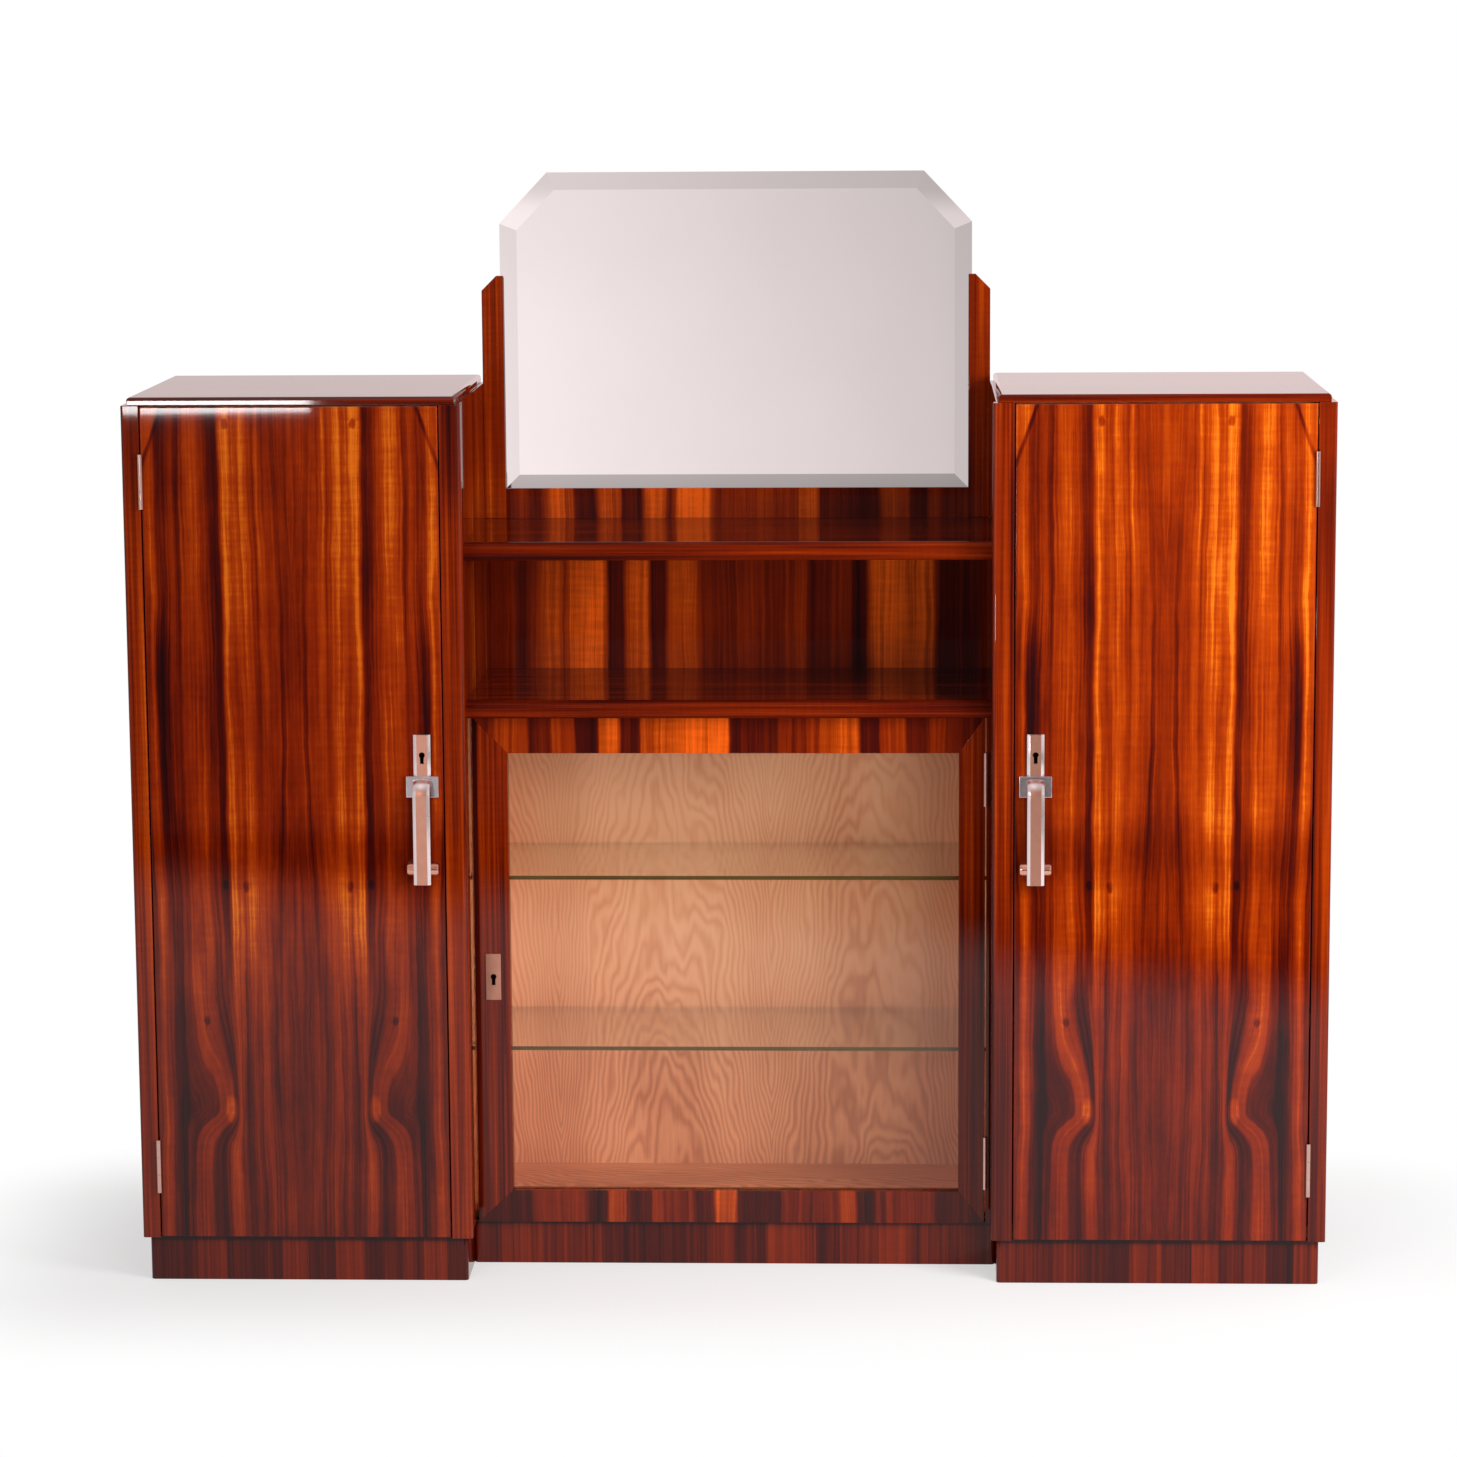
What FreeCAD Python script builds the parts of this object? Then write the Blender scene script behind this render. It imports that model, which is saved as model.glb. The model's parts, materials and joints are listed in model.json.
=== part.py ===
import FreeCAD, Part
import math
import os
import re
import Sketcher

# Stepped cabinet: two tall cupboards stand either side of a set-back centre,
# which has a glazed display, an open niche, a shelf and a bevelled mirror.
# +Z is up, +X is to the right seen from the front, and the front faces -Y.

SIZES = {
    # Whole cabinet
    "overall_width": 1800,
    "carcass_depth": 430,
    "plinth_height": 69,
    "side_height": 1273,
    "centre_width": 796,
    "centre_setback": 100,
    # Boards and their joints
    "outer_side_thickness": 27,
    "inner_side_thickness": 28,
    "lipping_projection": 4,
    "lipping_depth": 20,
    "board_thickness": 20,
    "centre_bottom_thickness": 12,
    "back_thickness": 8,
    "back_inset": 10,
    "housing_depth": 8,
    "outer_arris": 4,
    "inner_arris": 6,
    "door_seat": 0.5,
    # Top slabs
    "slab_thickness": 12,
    "slab_inset": 9,
    "slab_setback": 3,
    "slab_rounding": 5,
    # Plinths
    "plinth_inset": 9,
    "plinth_setback": 12,
    "plinth_board": 20,
    "plinth_rounding": 6,
    # Loose shelves, with battens under the wooden ones and angle rests under the glass
    "cupboard_shelf_thickness": 16,
    "cupboard_shelf_setback": 18,
    "shelf_play": 1,
    "batten_width": 12,
    "batten_height": 16,
    "batten_setback": 20,
    "rest_reach": 9,
    "rest_width": 14,
    "rest_height": 12,
    "rest_gauge": 1.5,
    "rest_margin": 50,
    "glass_shelf_thickness": 6,
    "glass_shelf_setback": 6,
    "lower_glass_rise": 253,
    "upper_glass_drop": 259,
    # Fixed shelves of the centre
    "shelf_thickness": 28,
    "shelf_overhang": 38,
    "shelf_nose": 13,
    "tongue_thickness": 12,
    "tongue_setback": 30,
    "lower_shelf_height": 889,
    "upper_shelf_height": 1129,
    # Mirror and its posts
    "post_width": 34,
    "post_lip": 8,
    "post_chamfer": 23,
    "post_height": 381,
    "apron_height": 47,
    "apron_step": 2,
    "mirror_overlap": 6,
    "mirror_play": 0.5,
    "mirror_height": 500,
    "mirror_thickness": 6,
    "clip_width": 75,
    "clip_height": 79,
    "bevel_width": 27,
    "bevel_depth": 3,
    "backing_thickness": 10,
    "backing_inset": 3,
    # Doors
    "door_thickness": 22,
    "door_gap": 2,
    "door_arris": 1.5,
    "lock_gap": 4,
    "hinge_strip_width": 10,
    "lock_stile_width": 54,
    "hinge_stile_width": 40,
    "top_rail_width": 56,
    "bottom_rail_width": 50,
    "glass_rebate": 8,
    "glass_front": 9,
    "glass_thickness": 4,
    "glass_play": 1,
    # Butt hinges
    "hinge_length": 82,
    "knuckle_radius": 3.5,
    "knuckle_clearance": 0.3,
    "pin_radius": 1.5,
    "pin_clearance": 0.05,
    "leaf_thickness": 1.5,
    "leaf_width": 18,
    "hinge_margin": 70,
    "centre_hinge_margin": 55,
    # Locks
    "key_height": 817,
    "centre_key_height": 456,
    "key_radius": 4.5,
    "key_slot": 5.5,
    "key_drop": 13,
    "key_backset": 31,
    "centre_key_backset": 28,
    "lock_inset": 2,
    "lock_width": 38,
    "lock_height": 70,
    "lock_depth": 12,
    "bolt_rise": 22,
    "bolt_length": 26,
    "bolt_height": 16,
    "bolt_thickness": 5,
    "bolt_throw": 10,
    "bolt_clearance": 0.4,
    "strike_thickness": 1,
    "strike_margin": 8,
    "escutcheon_width": 23,
    "escutcheon_height": 72,
    "escutcheon_thickness": 2,
    # Handles
    "strip_width": 26,
    "strip_bevel": 5,
    "strip_edge": 2,
    "plate_thickness": 4,
    "plate_above": 31,
    "plate_below": 32,
    "base_width": 49,
    "base_height": 32,
    "base_thickness": 5,
    "bar_thickness": 7,
    "bar_standoff": 20,
    "bar_crown": 4,
    "bar_drop": 130,
    "roller_radius": 10.5,
    "roller_length": 49,
    "roller_rise": 22,
    "roller_chamfer": 2.5,
}

# Places that follow from the sizes, in the same words
PLACES = {
    "handle_reach": "bar_standoff + bar_thickness",
    "front": "(handle_reach - carcass_depth) / 2",
    "rear": "front + carcass_depth",
    "back_face": "rear - back_inset - back_thickness",
    "outer_face": "overall_width / 2",
    "inner_face": "centre_width / 2",
    "lip_edge": "inner_face - lipping_projection",
    "cupboard_near": "inner_face + inner_side_thickness",
    "cupboard_far": "outer_face - outer_side_thickness",
    "carcass_top": "plinth_height + side_height",
    "slab_front": "front + slab_setback",
    "slab_top": "carcass_top + slab_thickness",
    "cupboard_floor": "plinth_height + board_thickness",
    "cupboard_ceiling": "carcass_top - board_thickness",
    "board_front": "front + door_thickness + door_seat",
    "cupboard_shelf_front": "board_front + cupboard_shelf_setback",
    "centre_front": "front + centre_setback",
    "centre_door_back": "centre_front + door_thickness",
    "centre_board_front": "centre_door_back + door_seat",
    "glass_shelf_front": "centre_board_front + glass_shelf_setback",
    "shelf_front": "centre_front - shelf_overhang",
    "tongue_front": "shelf_front + tongue_setback",
    "lower_shelf_under": "lower_shelf_height - shelf_thickness",
    "upper_shelf_under": "upper_shelf_height - shelf_thickness",
    "display_floor": "plinth_height + centre_bottom_thickness",
    "lower_glass_height": "display_floor + lower_glass_rise",
    "upper_glass_height": "lower_shelf_under - upper_glass_drop",
    "backing_front": "rear - backing_thickness",
    "mirror_front": "backing_front - mirror_thickness",
    "post_front": "mirror_front - post_lip",
    "post_inner": "inner_face - post_width",
    "post_top": "upper_shelf_height + post_height",
    "apron_top": "upper_shelf_height + apron_height",
    "mirror_low": "apron_top - mirror_overlap",
    "mirror_half": "post_inner + mirror_overlap - mirror_play",
    "mirror_top": "mirror_low + mirror_height",
    "clip_length": "sqrt(clip_width ^ 2 + clip_height ^ 2)",
    "door_near": "cupboard_near + door_gap",
    "door_far": "cupboard_far - door_gap",
    "door_low": "plinth_height + door_gap",
    "door_high": "carcass_top - door_gap",
    "door_back": "front + door_thickness",
    "centre_door_left": "lock_gap - inner_face",
    "strip_face": "inner_face - hinge_strip_width",
    "centre_door_right": "strip_face - door_gap",
    "centre_door_high": "lower_shelf_under - door_gap",
    "opening_left": "centre_door_left + lock_stile_width",
    "opening_right": "centre_door_right - hinge_stile_width",
    "opening_low": "plinth_height + bottom_rail_width",
    "opening_high": "centre_door_high - top_rail_width",
    "pane_front": "centre_front + glass_front",
    "bead_front": "pane_front + glass_thickness",
    "low_hinge": "door_low + hinge_margin",
    "high_hinge": "door_high - hinge_margin - hinge_length",
    "centre_low_hinge": "plinth_height + centre_hinge_margin",
    "centre_high_hinge": "centre_door_high - centre_hinge_margin - hinge_length",
    "knuckle_third": "hinge_length / 3",
    "knuckle_sweep": "knuckle_radius + knuckle_clearance",
    "key_place": "door_near + key_backset",
    "centre_key_place": "centre_door_left + centre_key_backset",
    "bolt_entry": "bolt_throw - lock_inset + bolt_clearance",
    "plate_low": "key_height - plate_below",
    "base_low": "plate_low - base_height",
    "bar_low": "base_low - bar_drop",
    "bar_middle": "bar_standoff + bar_thickness / 2",
    "bend_radius": "bar_middle - base_thickness",
    "bend_low": "plate_low - bar_crown - bar_thickness / 2 - bend_radius",
    "roller_height": "bar_low + roller_rise",
}

SHELF_COUNT = 3
SIDES = {"left": -1, "right": 1}
KNOWN_FUNCTIONS = {"sqrt"}
WORD = re.compile(r"[a-z_]+")
PLACE_TOLERANCE = 1e-4
ALONG = {
    "x": FreeCAD.Rotation(FreeCAD.Vector(0, 1, 0), 90),
    "y": FreeCAD.Rotation(FreeCAD.Vector(1, 0, 0), -90),
    "z": FreeCAD.Rotation(),
}

doc = FreeCAD.newDocument("MirroredSideboard")
sheet = doc.addObject("Spreadsheet::Sheet", "Sizes")
for row, (name, number) in enumerate(SIZES.items(), start=1):
    sheet.set(f"A{row}", name)
    sheet.set(f"B{row}", str(number))
    sheet.setAlias(f"B{row}", name)
doc.recompute()
subparts = []


def formula(text):
    """Turn a place written in plain words into an expression on the sheet."""
    def expand(match):
        word = match.group(0)
        if word in KNOWN_FUNCTIONS:
            return word
        if word in PLACES:
            return f"({formula(PLACES[word])})"
        return f"Sizes.{word}"
    return WORD.sub(expand, text)


def value(text):
    """The number that a place comes to with the sizes as they are."""
    return float(sheet.evalExpression(formula(text)))


def across(hand, low, high):
    """A span along X, turned over to the left for a hand of -1."""
    if hand > 0:
        return (low, high)
    return (f"-({high})", f"-({low})")


def keep(piece, label):
    """Name a sub-part and put it on the list that is written out."""
    piece.Label = label
    subparts.append(piece)
    return piece


def new_body():
    return doc.addObject("PartDesign::Body", "Body")


def bind_spans(box, spans):
    """Tie a box's sides and corner to low and high places along X, Y and Z."""
    for (low, high), side, axis in zip(spans, ("Length", "Width", "Height"), "xyz"):
        box.setExpression(side, formula(f"{high} - ({low})"))
        box.setExpression(f"Placement.Base.{axis}", formula(low))


def fill(body, *spans):
    bind_spans(body.newObject("PartDesign::AdditiveBox", "Board"), spans)


def cut(body, *spans):
    bind_spans(body.newObject("PartDesign::SubtractiveBox", "Cut"), spans)


def block(*spans):
    """A plain block in a body of its own."""
    body = new_body()
    fill(body, *spans)
    return body


def bind_rod(rod, axis, start, radius, length):
    """Tie a cylinder to its start, radius and length along one axis."""
    rod.Placement = FreeCAD.Placement(FreeCAD.Vector(), ALONG[axis])
    for place, letter in zip(start, "xyz"):
        rod.setExpression(f"Placement.Base.{letter}", formula(place))
    rod.setExpression("Radius", formula(radius))
    rod.setExpression("Height", formula(length))
    return rod


def add_rod(body, *rod):
    bind_rod(body.newObject("PartDesign::AdditiveCylinder", "Rod"), *rod)


def drill(body, *rod):
    bind_rod(body.newObject("PartDesign::SubtractiveCylinder", "Bore"), *rod)


def edges_at(shape, **places):
    """Names of the edges whose ends all lie at the given places."""
    wanted = {axis: value(text) for axis, text in places.items()}
    found = []
    for number, edge in enumerate(shape.Edges, start=1):
        gaps = [
            abs(getattr(vertex.Point, axis) - place)
            for vertex in edge.Vertexes
            for axis, place in wanted.items()
        ]
        if max(gaps) < PLACE_TOLERANCE:
            found.append(f"Edge{number}")
    return found


def dress_edges(body, kind, size, text, edges):
    """Work the edges that lie at each of the given sets of places."""
    doc.recompute()
    tip = body.Tip
    names = [name for places in edges for name in edges_at(tip.Shape, **places)]
    dressing = body.newObject(f"PartDesign::{kind}", kind)
    dressing.Base = (tip, names)
    dressing.setExpression(size, formula(text))


def round_over(body, radius, *edges):
    dress_edges(body, "Fillet", "Radius", radius, edges)


def chamfer(body, size, *edges):
    dress_edges(body, "Chamfer", "Size", size, edges)


def new_sketch(body, plane, offset):
    """A sketch on one of the body's own origin planes, moved along its normal."""
    sketch = body.newObject("Sketcher::SketchObject", "Outline")
    support = next(item for item in body.Origin.OriginFeatures if item.Role == plane)
    sketch.AttachmentSupport = [(support, "")]
    sketch.MapMode = "FlatFace"
    sketch.setExpression("AttachmentOffset.Base.z", formula(offset))
    return sketch


def pin_point(sketch, geometry, end, place):
    """Hold one point of a sketch at a place that is bound to the sheet."""
    for kind, text in zip(("DistanceX", "DistanceY"), place):
        rule = Sketcher.Constraint(kind, -1, 1, geometry, end, value(text))
        number = sketch.addConstraint(rule)
        sketch.setExpression(f"Constraints[{number}]", formula(text))


def outline(body, plane, offset, points):
    """A closed outline of straight lines through points bound to the sheet."""
    sketch = new_sketch(body, plane, offset)
    corners = [FreeCAD.Vector(value(across), value(up), 0) for across, up in points]
    count = len(corners)
    for number in range(count):
        line = Part.LineSegment(corners[number], corners[(number + 1) % count])
        sketch.addGeometry(line, False)
    for number in range(count):
        following = (number + 1) % count
        sketch.addConstraint(Sketcher.Constraint("Coincident", number, 2, following, 1))
        pin_point(sketch, number, 1, points[number])
    return sketch


def pad(body, sketch, length, backwards=False):
    extrusion = body.newObject("PartDesign::Pad", "Pad")
    extrusion.Profile = sketch
    extrusion.setExpression("Length", formula(length))
    extrusion.Reversed = backwards


def upright_slab(points, front, thickness):
    """A board cut to an outline seen from the front, with its face at front."""
    body = new_body()
    pad(body, outline(body, "XZ_Plane", f"-({front})", points), thickness, backwards=True)
    return body


def group(label, members):
    """Like pieces that stay separate solids under one name."""
    bundle = doc.addObject("Part::Compound", "Group")
    bundle.Links = members
    return keep(bundle, label)


def cut_keyhole(body, key_x, key_z, y):
    """A round hole for the key's shank with a slot below it for the bit."""
    drill(body, "y", (key_x, y[0], key_z), "key_radius", f"{y[1]} - ({y[0]})")
    slot = (f"{key_x} - key_slot / 2", f"{key_x} + key_slot / 2")
    cut(body, slot, y, (f"{key_z} - key_drop", key_z))


def shelf_level(number):
    """Underside of a loose cupboard shelf, counted from the bottom."""
    return f"cupboard_floor + (cupboard_ceiling - cupboard_floor) * {number} / {SHELF_COUNT + 1}"


CUPBOARD_LEVELS = [shelf_level(number) for number in range(1, SHELF_COUNT + 1)]
GLASS_LEVELS = ["lower_glass_height", "upper_glass_height"]
REST_ROWS = ("glass_shelf_front + rest_margin", "back_face - rest_margin")
glass_rests = []


def fit_rests(hand):
    """Angle rests on the display's side, two under each end of a glass shelf."""
    whole = across(hand, "inner_face - rest_reach", "inner_face")
    hollow = across(hand, "inner_face - rest_reach", "inner_face - rest_gauge")
    for level in GLASS_LEVELS:
        for row in REST_ROWS:
            depth = (f"{row} - rest_width / 2", f"{row} + rest_width / 2")
            rest = block(whole, depth, (f"{level} - rest_height", level))
            cut(rest, hollow, depth, (f"{level} - rest_height", f"{level} - rest_gauge"))
            glass_rests.append(rest)


def cut_board_housings(panel, hand, near, far):
    """Housings for a cupboard's top, bottom and back in the face of a side."""
    span = across(hand, near, far)
    boards = ("board_front", "back_face")
    cut(panel, span, boards, ("plinth_height", "cupboard_floor"))
    cut(panel, span, boards, ("cupboard_ceiling", "carcass_top"))
    back = ("back_face", "back_face + back_thickness")
    cut(panel, span, back, ("plinth_height", "carcass_top"))


def bolt_depths(door_back, room="0"):
    """Front and rear of a lock bolt behind a door, with room all round."""
    middle = f"{door_back} + lock_depth / 2"
    return (
        f"{middle} - bolt_thickness / 2 - {room}",
        f"{middle} + bolt_thickness / 2 + {room}",
    )


def bolt_heights(key, room="0"):
    middle = f"{key} + bolt_rise"
    return (f"{middle} - bolt_height / 2 - {room}", f"{middle} + bolt_height / 2 + {room}")


strike_plates = []


def fit_strike(panel, hand, face, gap, door_back, key):
    """Mortise a side for a lock bolt and let a strike plate into its face."""
    slot_y = bolt_depths(door_back, "bolt_clearance")
    slot_z = bolt_heights(key, "bolt_clearance")
    plate_x = across(hand, f"{face} - strike_thickness", face)
    plate_y = bolt_depths(door_back, "bolt_clearance")
    plate_y = (f"{plate_y[0]} - strike_margin / 4", f"{plate_y[1]} + strike_margin / 4")
    plate_z = bolt_heights(key, "strike_margin")
    cut(panel, plate_x, plate_y, plate_z)
    cut(panel, across(hand, f"{face} - (bolt_entry - {gap})", face), slot_y, slot_z)
    plate = block(plate_x, plate_y, plate_z)
    cut(plate, plate_x, slot_y, slot_z)
    strike_plates.append(plate)


def cut_leaf_seats(panel, hand, near, far, face, heights):
    """Seats that let hinge leaves lie flush in an edge."""
    for low in heights:
        cut(
            panel,
            across(hand, near, far),
            (face, f"{face} + leaf_width"),
            (low, f"{low} + hinge_length"),
        )


SIDE_HINGES = ("low_hinge", "high_hinge")
CENTRE_HINGES = ("centre_low_hinge", "centre_high_hinge")


def outer_side(side, hand):
    """Outer panel of a cupboard, which carries the door's hinges."""
    panel = block(
        across(hand, "cupboard_far", "outer_face"),
        ("front", "rear"),
        ("plinth_height", "carcass_top"),
    )
    round_over(panel, "outer_arris", {"x": f"{hand} * (outer_face)", "y": "front"})
    cut_board_housings(panel, hand, "cupboard_far", "cupboard_far + housing_depth")
    seat = ("cupboard_far", "cupboard_far + leaf_thickness")
    cut_leaf_seats(panel, hand, *seat, "front", SIDE_HINGES)
    keep(panel, f"{side}_outer_side")


def inner_side(side, hand):
    """Inner panel, lipped at the front, which shuts a cupboard and carries the centre."""
    height = ("plinth_height", "carcass_top")
    panel = block(across(hand, "inner_face", "cupboard_near"), ("front", "rear"), height)
    lipping = across(hand, "lip_edge", "cupboard_near")
    fill(panel, lipping, ("front", "front + lipping_depth"), height)
    round_over(panel, "inner_arris", {"x": f"{hand} * (lip_edge)", "y": "front"})
    cut_board_housings(panel, hand, "cupboard_near - housing_depth", "cupboard_near")
    centre = across(hand, "inner_face", "inner_face + housing_depth")
    cut(panel, centre, ("centre_board_front", "back_face"), ("plinth_height", "display_floor"))
    back = ("back_face", "back_face + back_thickness")
    cut(panel, centre, back, ("plinth_height", "upper_shelf_under"))
    for top in ("lower_shelf_height", "upper_shelf_height"):
        cut(panel, centre, ("tongue_front", "rear"), tongue_heights(top))
    fit_strike(panel, hand, "cupboard_near", "door_gap", "door_back", "key_height")
    if hand < 0:
        fit_strike(panel, 1, "-(inner_face)", "lock_gap", "centre_door_back", "centre_key_height")
    keep(panel, f"{side}_inner_side")


def plinth(label, x, front):
    """A hollow frame that the boards stand on, set back all round."""
    frame = block(x, (front, "rear"), ("0", "plinth_height"))
    corners = [{"x": place, "y": front} for place in x]
    round_over(frame, "plinth_rounding", *corners)
    inner_x = (f"{x[0]} + plinth_board", f"{x[1]} - plinth_board")
    inner_y = (f"{front} + plinth_board", "rear - plinth_board")
    cut(frame, inner_x, inner_y, ("0", "plinth_height"))
    keep(frame, label)


def top_slab(side, hand):
    """Thin polished top whose upper edges are softly rounded."""
    x = across(hand, "lip_edge + slab_inset", "outer_face - slab_inset")
    slab = block(x, ("slab_front", "rear"), ("carcass_top", "slab_top"))
    edges = [{"z": "slab_top", "y": "slab_front"}]
    edges += [{"z": "slab_top", "x": place} for place in x]
    round_over(slab, "slab_rounding", *edges)
    keep(slab, f"{side}_top_slab")


shelf_battens = []


def cupboard_boards(side, hand):
    """Top, bottom, back and loose shelves between a cupboard's two sides."""
    housed = across(hand, "cupboard_near - housing_depth", "cupboard_far + housing_depth")
    depth = ("board_front", "back_face")
    keep(block(housed, depth, ("cupboard_ceiling", "carcass_top")), f"{side}_top_board")
    keep(block(housed, depth, ("plinth_height", "cupboard_floor")), f"{side}_bottom_board")
    back = ("back_face", "back_face + back_thickness")
    keep(block(housed, back, ("plinth_height", "carcass_top")), f"{side}_back_panel")
    loose = across(hand, "cupboard_near + shelf_play", "cupboard_far - shelf_play")
    shelf_depth = ("cupboard_shelf_front", "back_face - shelf_play")
    shelves = [
        block(loose, shelf_depth, (level, f"{level} + cupboard_shelf_thickness"))
        for level in CUPBOARD_LEVELS
    ]
    group(f"{side}_cupboard_shelves", shelves)
    batten_depth = ("cupboard_shelf_front + batten_setback", "back_face - batten_setback")
    for level in CUPBOARD_LEVELS:
        height = (f"{level} - batten_height", level)
        near = across(hand, "cupboard_near", "cupboard_near + batten_width")
        far = across(hand, "cupboard_far - batten_width", "cupboard_far")
        shelf_battens.extend(block(x, batten_depth, height) for x in (near, far))


def cupboard(side, hand):
    outer_side(side, hand)
    inner_side(side, hand)
    cupboard_boards(side, hand)
    fit_rests(hand)
    top_slab(side, hand)
    span = across(hand, "lip_edge + plinth_inset", "outer_face - plinth_inset")
    plinth(f"{side}_plinth", span, "front + plinth_setback")


def tongue_heights(top):
    middle = f"{top} - shelf_thickness / 2"
    return (f"{middle} - tongue_thickness / 2", f"{middle} + tongue_thickness / 2")


def fixed_shelf(label, top):
    """A bull-nosed shelf with a tongue at each end in a stopped housing."""
    under = f"{top} - shelf_thickness"
    shelf = block(("-(inner_face)", "inner_face"), ("shelf_front", "rear"), (under, top))
    round_over(
        shelf,
        "shelf_nose",
        {"y": "shelf_front", "z": top},
        {"y": "shelf_front", "z": under},
    )
    reach = ("-(inner_face + housing_depth)", "inner_face + housing_depth")
    fill(shelf, reach, ("tongue_front", "rear"), tongue_heights(top))
    keep(shelf, label)


def centre_boards():
    """Bottom, backs, shelves and plinth between the two cupboards."""
    housed = ("-(inner_face + housing_depth)", "inner_face + housing_depth")
    bottom = ("plinth_height", "display_floor")
    keep(block(housed, ("centre_board_front", "back_face"), bottom), "centre_bottom_board")
    back = ("back_face", "back_face + back_thickness")
    keep(block(housed, back, ("plinth_height", "lower_shelf_under")), "display_back")
    keep(block(housed, back, ("lower_shelf_height", "upper_shelf_under")), "niche_back")
    fixed_shelf("lower_shelf", "lower_shelf_height")
    fixed_shelf("upper_shelf", "upper_shelf_height")
    clear = ("shelf_play - inner_face", "inner_face - shelf_play")
    depth = ("glass_shelf_front", "back_face - shelf_play")
    panes = [
        block(clear, depth, (level, f"{level} + glass_shelf_thickness")) for level in GLASS_LEVELS
    ]
    group("glass_shelves", panes)
    span = ("-(lip_edge + plinth_inset)", "lip_edge + plinth_inset")
    plinth("centre_plinth", span, "centre_front + plinth_setback")


def clipped_outline(inset):
    """The mirror's outline with its two top corners cut off, drawn in all round."""
    side = f"mirror_half - {inset}"
    low = f"mirror_low + {inset}"
    top = f"mirror_top - {inset}"
    shoulder = f"mirror_top - clip_height - {inset} * (clip_length - clip_height) / clip_width"
    crown = f"mirror_half - clip_width - {inset} * (clip_length - clip_width) / clip_height"
    right = [(side, low), (side, shoulder), (crown, top)]
    left = [(f"-({x})", z) for x, z in reversed(right)]
    return right + left


def mirror_plate():
    """Mirror glass: a flat back part and a wide bevel drawn in to the front."""
    edge_front = "mirror_front + bevel_depth"
    glass = upright_slab(clipped_outline("0"), edge_front, "mirror_thickness - bevel_depth")
    bevel = glass.newObject("PartDesign::AdditiveLoft", "Bevel")
    bevel.Profile = outline(glass, "XZ_Plane", f"-({edge_front})", clipped_outline("0"))
    bevel.Sections = [outline(glass, "XZ_Plane", "-(mirror_front)", clipped_outline("bevel_width"))]
    bevel.Ruled = True
    glass.Tip = bevel
    keep(glass, "mirror_glass")


def mirror_backing():
    """Backing board behind the mirror and its posts, just inside their outline."""
    mirror = clipped_outline("backing_inset")
    side = "inner_face - backing_inset"
    shoulder = "post_top - backing_inset"
    right = [
        (side, "upper_shelf_height"),
        (side, f"{shoulder} - post_chamfer"),
        (f"{side} - post_chamfer", shoulder),
        (mirror[1][0], shoulder),
        mirror[1],
        mirror[2],
    ]
    left = [(f"-({x})", z) for x, z in reversed(right)]
    keep(upright_slab(right + left, "backing_front", "backing_thickness"), "mirror_backing")


def mirror_post(side, hand):
    """A stepped post with a cut-off shoulder and a rebate for the mirror's edge."""
    corners = [
        ("post_inner", "upper_shelf_height"),
        ("inner_face", "upper_shelf_height"),
        ("inner_face", "post_top - post_chamfer"),
        ("inner_face - post_chamfer", "post_top"),
        ("post_inner", "post_top"),
    ]
    points = [(f"{hand} * ({x})", z) for x, z in corners]
    post = upright_slab(points, "post_front", "post_lip + mirror_thickness")
    rebate = across(hand, "post_inner", "post_inner + mirror_overlap")
    cut(post, rebate, ("mirror_front", "backing_front"), ("mirror_low", "post_top"))
    keep(post, f"{side}_mirror_post")


def mirror_apron():
    """Rail under the mirror, rebated along its top for the mirror's lower edge."""
    apron = block(
        ("-(post_inner)", "post_inner"),
        ("post_front + apron_step", "backing_front"),
        ("upper_shelf_height", "apron_top"),
    )
    reach = ("-(post_inner)", "post_inner")
    cut(apron, reach, ("mirror_front", "backing_front"), ("mirror_low", "apron_top"))
    keep(apron, "mirror_apron")


frame_leaves = []
hinge_pins = []


def hinge_leaf(hand, leaf_x, axis, face, low, kept, cleared):
    """One leaf with its own knuckles, cut clear of the other leaf's knuckles."""
    high = f"{low} + hinge_length"
    leaf = block(across(hand, *leaf_x), (axis[1], f"{face} + leaf_width"), (low, high))
    for start, length in cleared:
        drill(leaf, "z", (*axis, start), "knuckle_sweep", length)
    for start, length in kept:
        add_rod(leaf, "z", (*axis, start), "knuckle_radius", length)
    drill(leaf, "z", (*axis, low), "pin_radius + pin_clearance", "hinge_length")
    return leaf


def butt_hinge(hand, edge, face, low):
    """A three-knuckle hinge: a frame leaf, a door leaf and the pin between them."""
    axis = (f"{hand} * ({edge} + door_gap / 2)", f"{face} - knuckle_sweep")
    play = "knuckle_clearance"
    ends = [(low, "knuckle_third"), (f"{low} + 2 * knuckle_third", "knuckle_third")]
    middle_low = f"{low} + knuckle_third"
    frame_x = (f"{edge} + door_gap", f"{edge} + door_gap + leaf_thickness")
    door_x = (f"{edge} - leaf_thickness", edge)
    frame_leaves.append(
        hinge_leaf(hand, frame_x, axis, face, low, ends, [(middle_low, "knuckle_third")])
    )
    clear_ends = [
        (low, f"knuckle_third + {play}"),
        (f"{low} + 2 * knuckle_third - {play}", f"knuckle_third + {play}"),
    ]
    middle = [(f"{middle_low} + {play}", f"knuckle_third - 2 * {play}")]
    pin = doc.addObject("Part::Cylinder", "Pin")
    hinge_pins.append(bind_rod(pin, "z", (*axis, low), "pin_radius", "hinge_length"))
    return hinge_leaf(hand, door_x, axis, face, low, middle, clear_ends)


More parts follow.
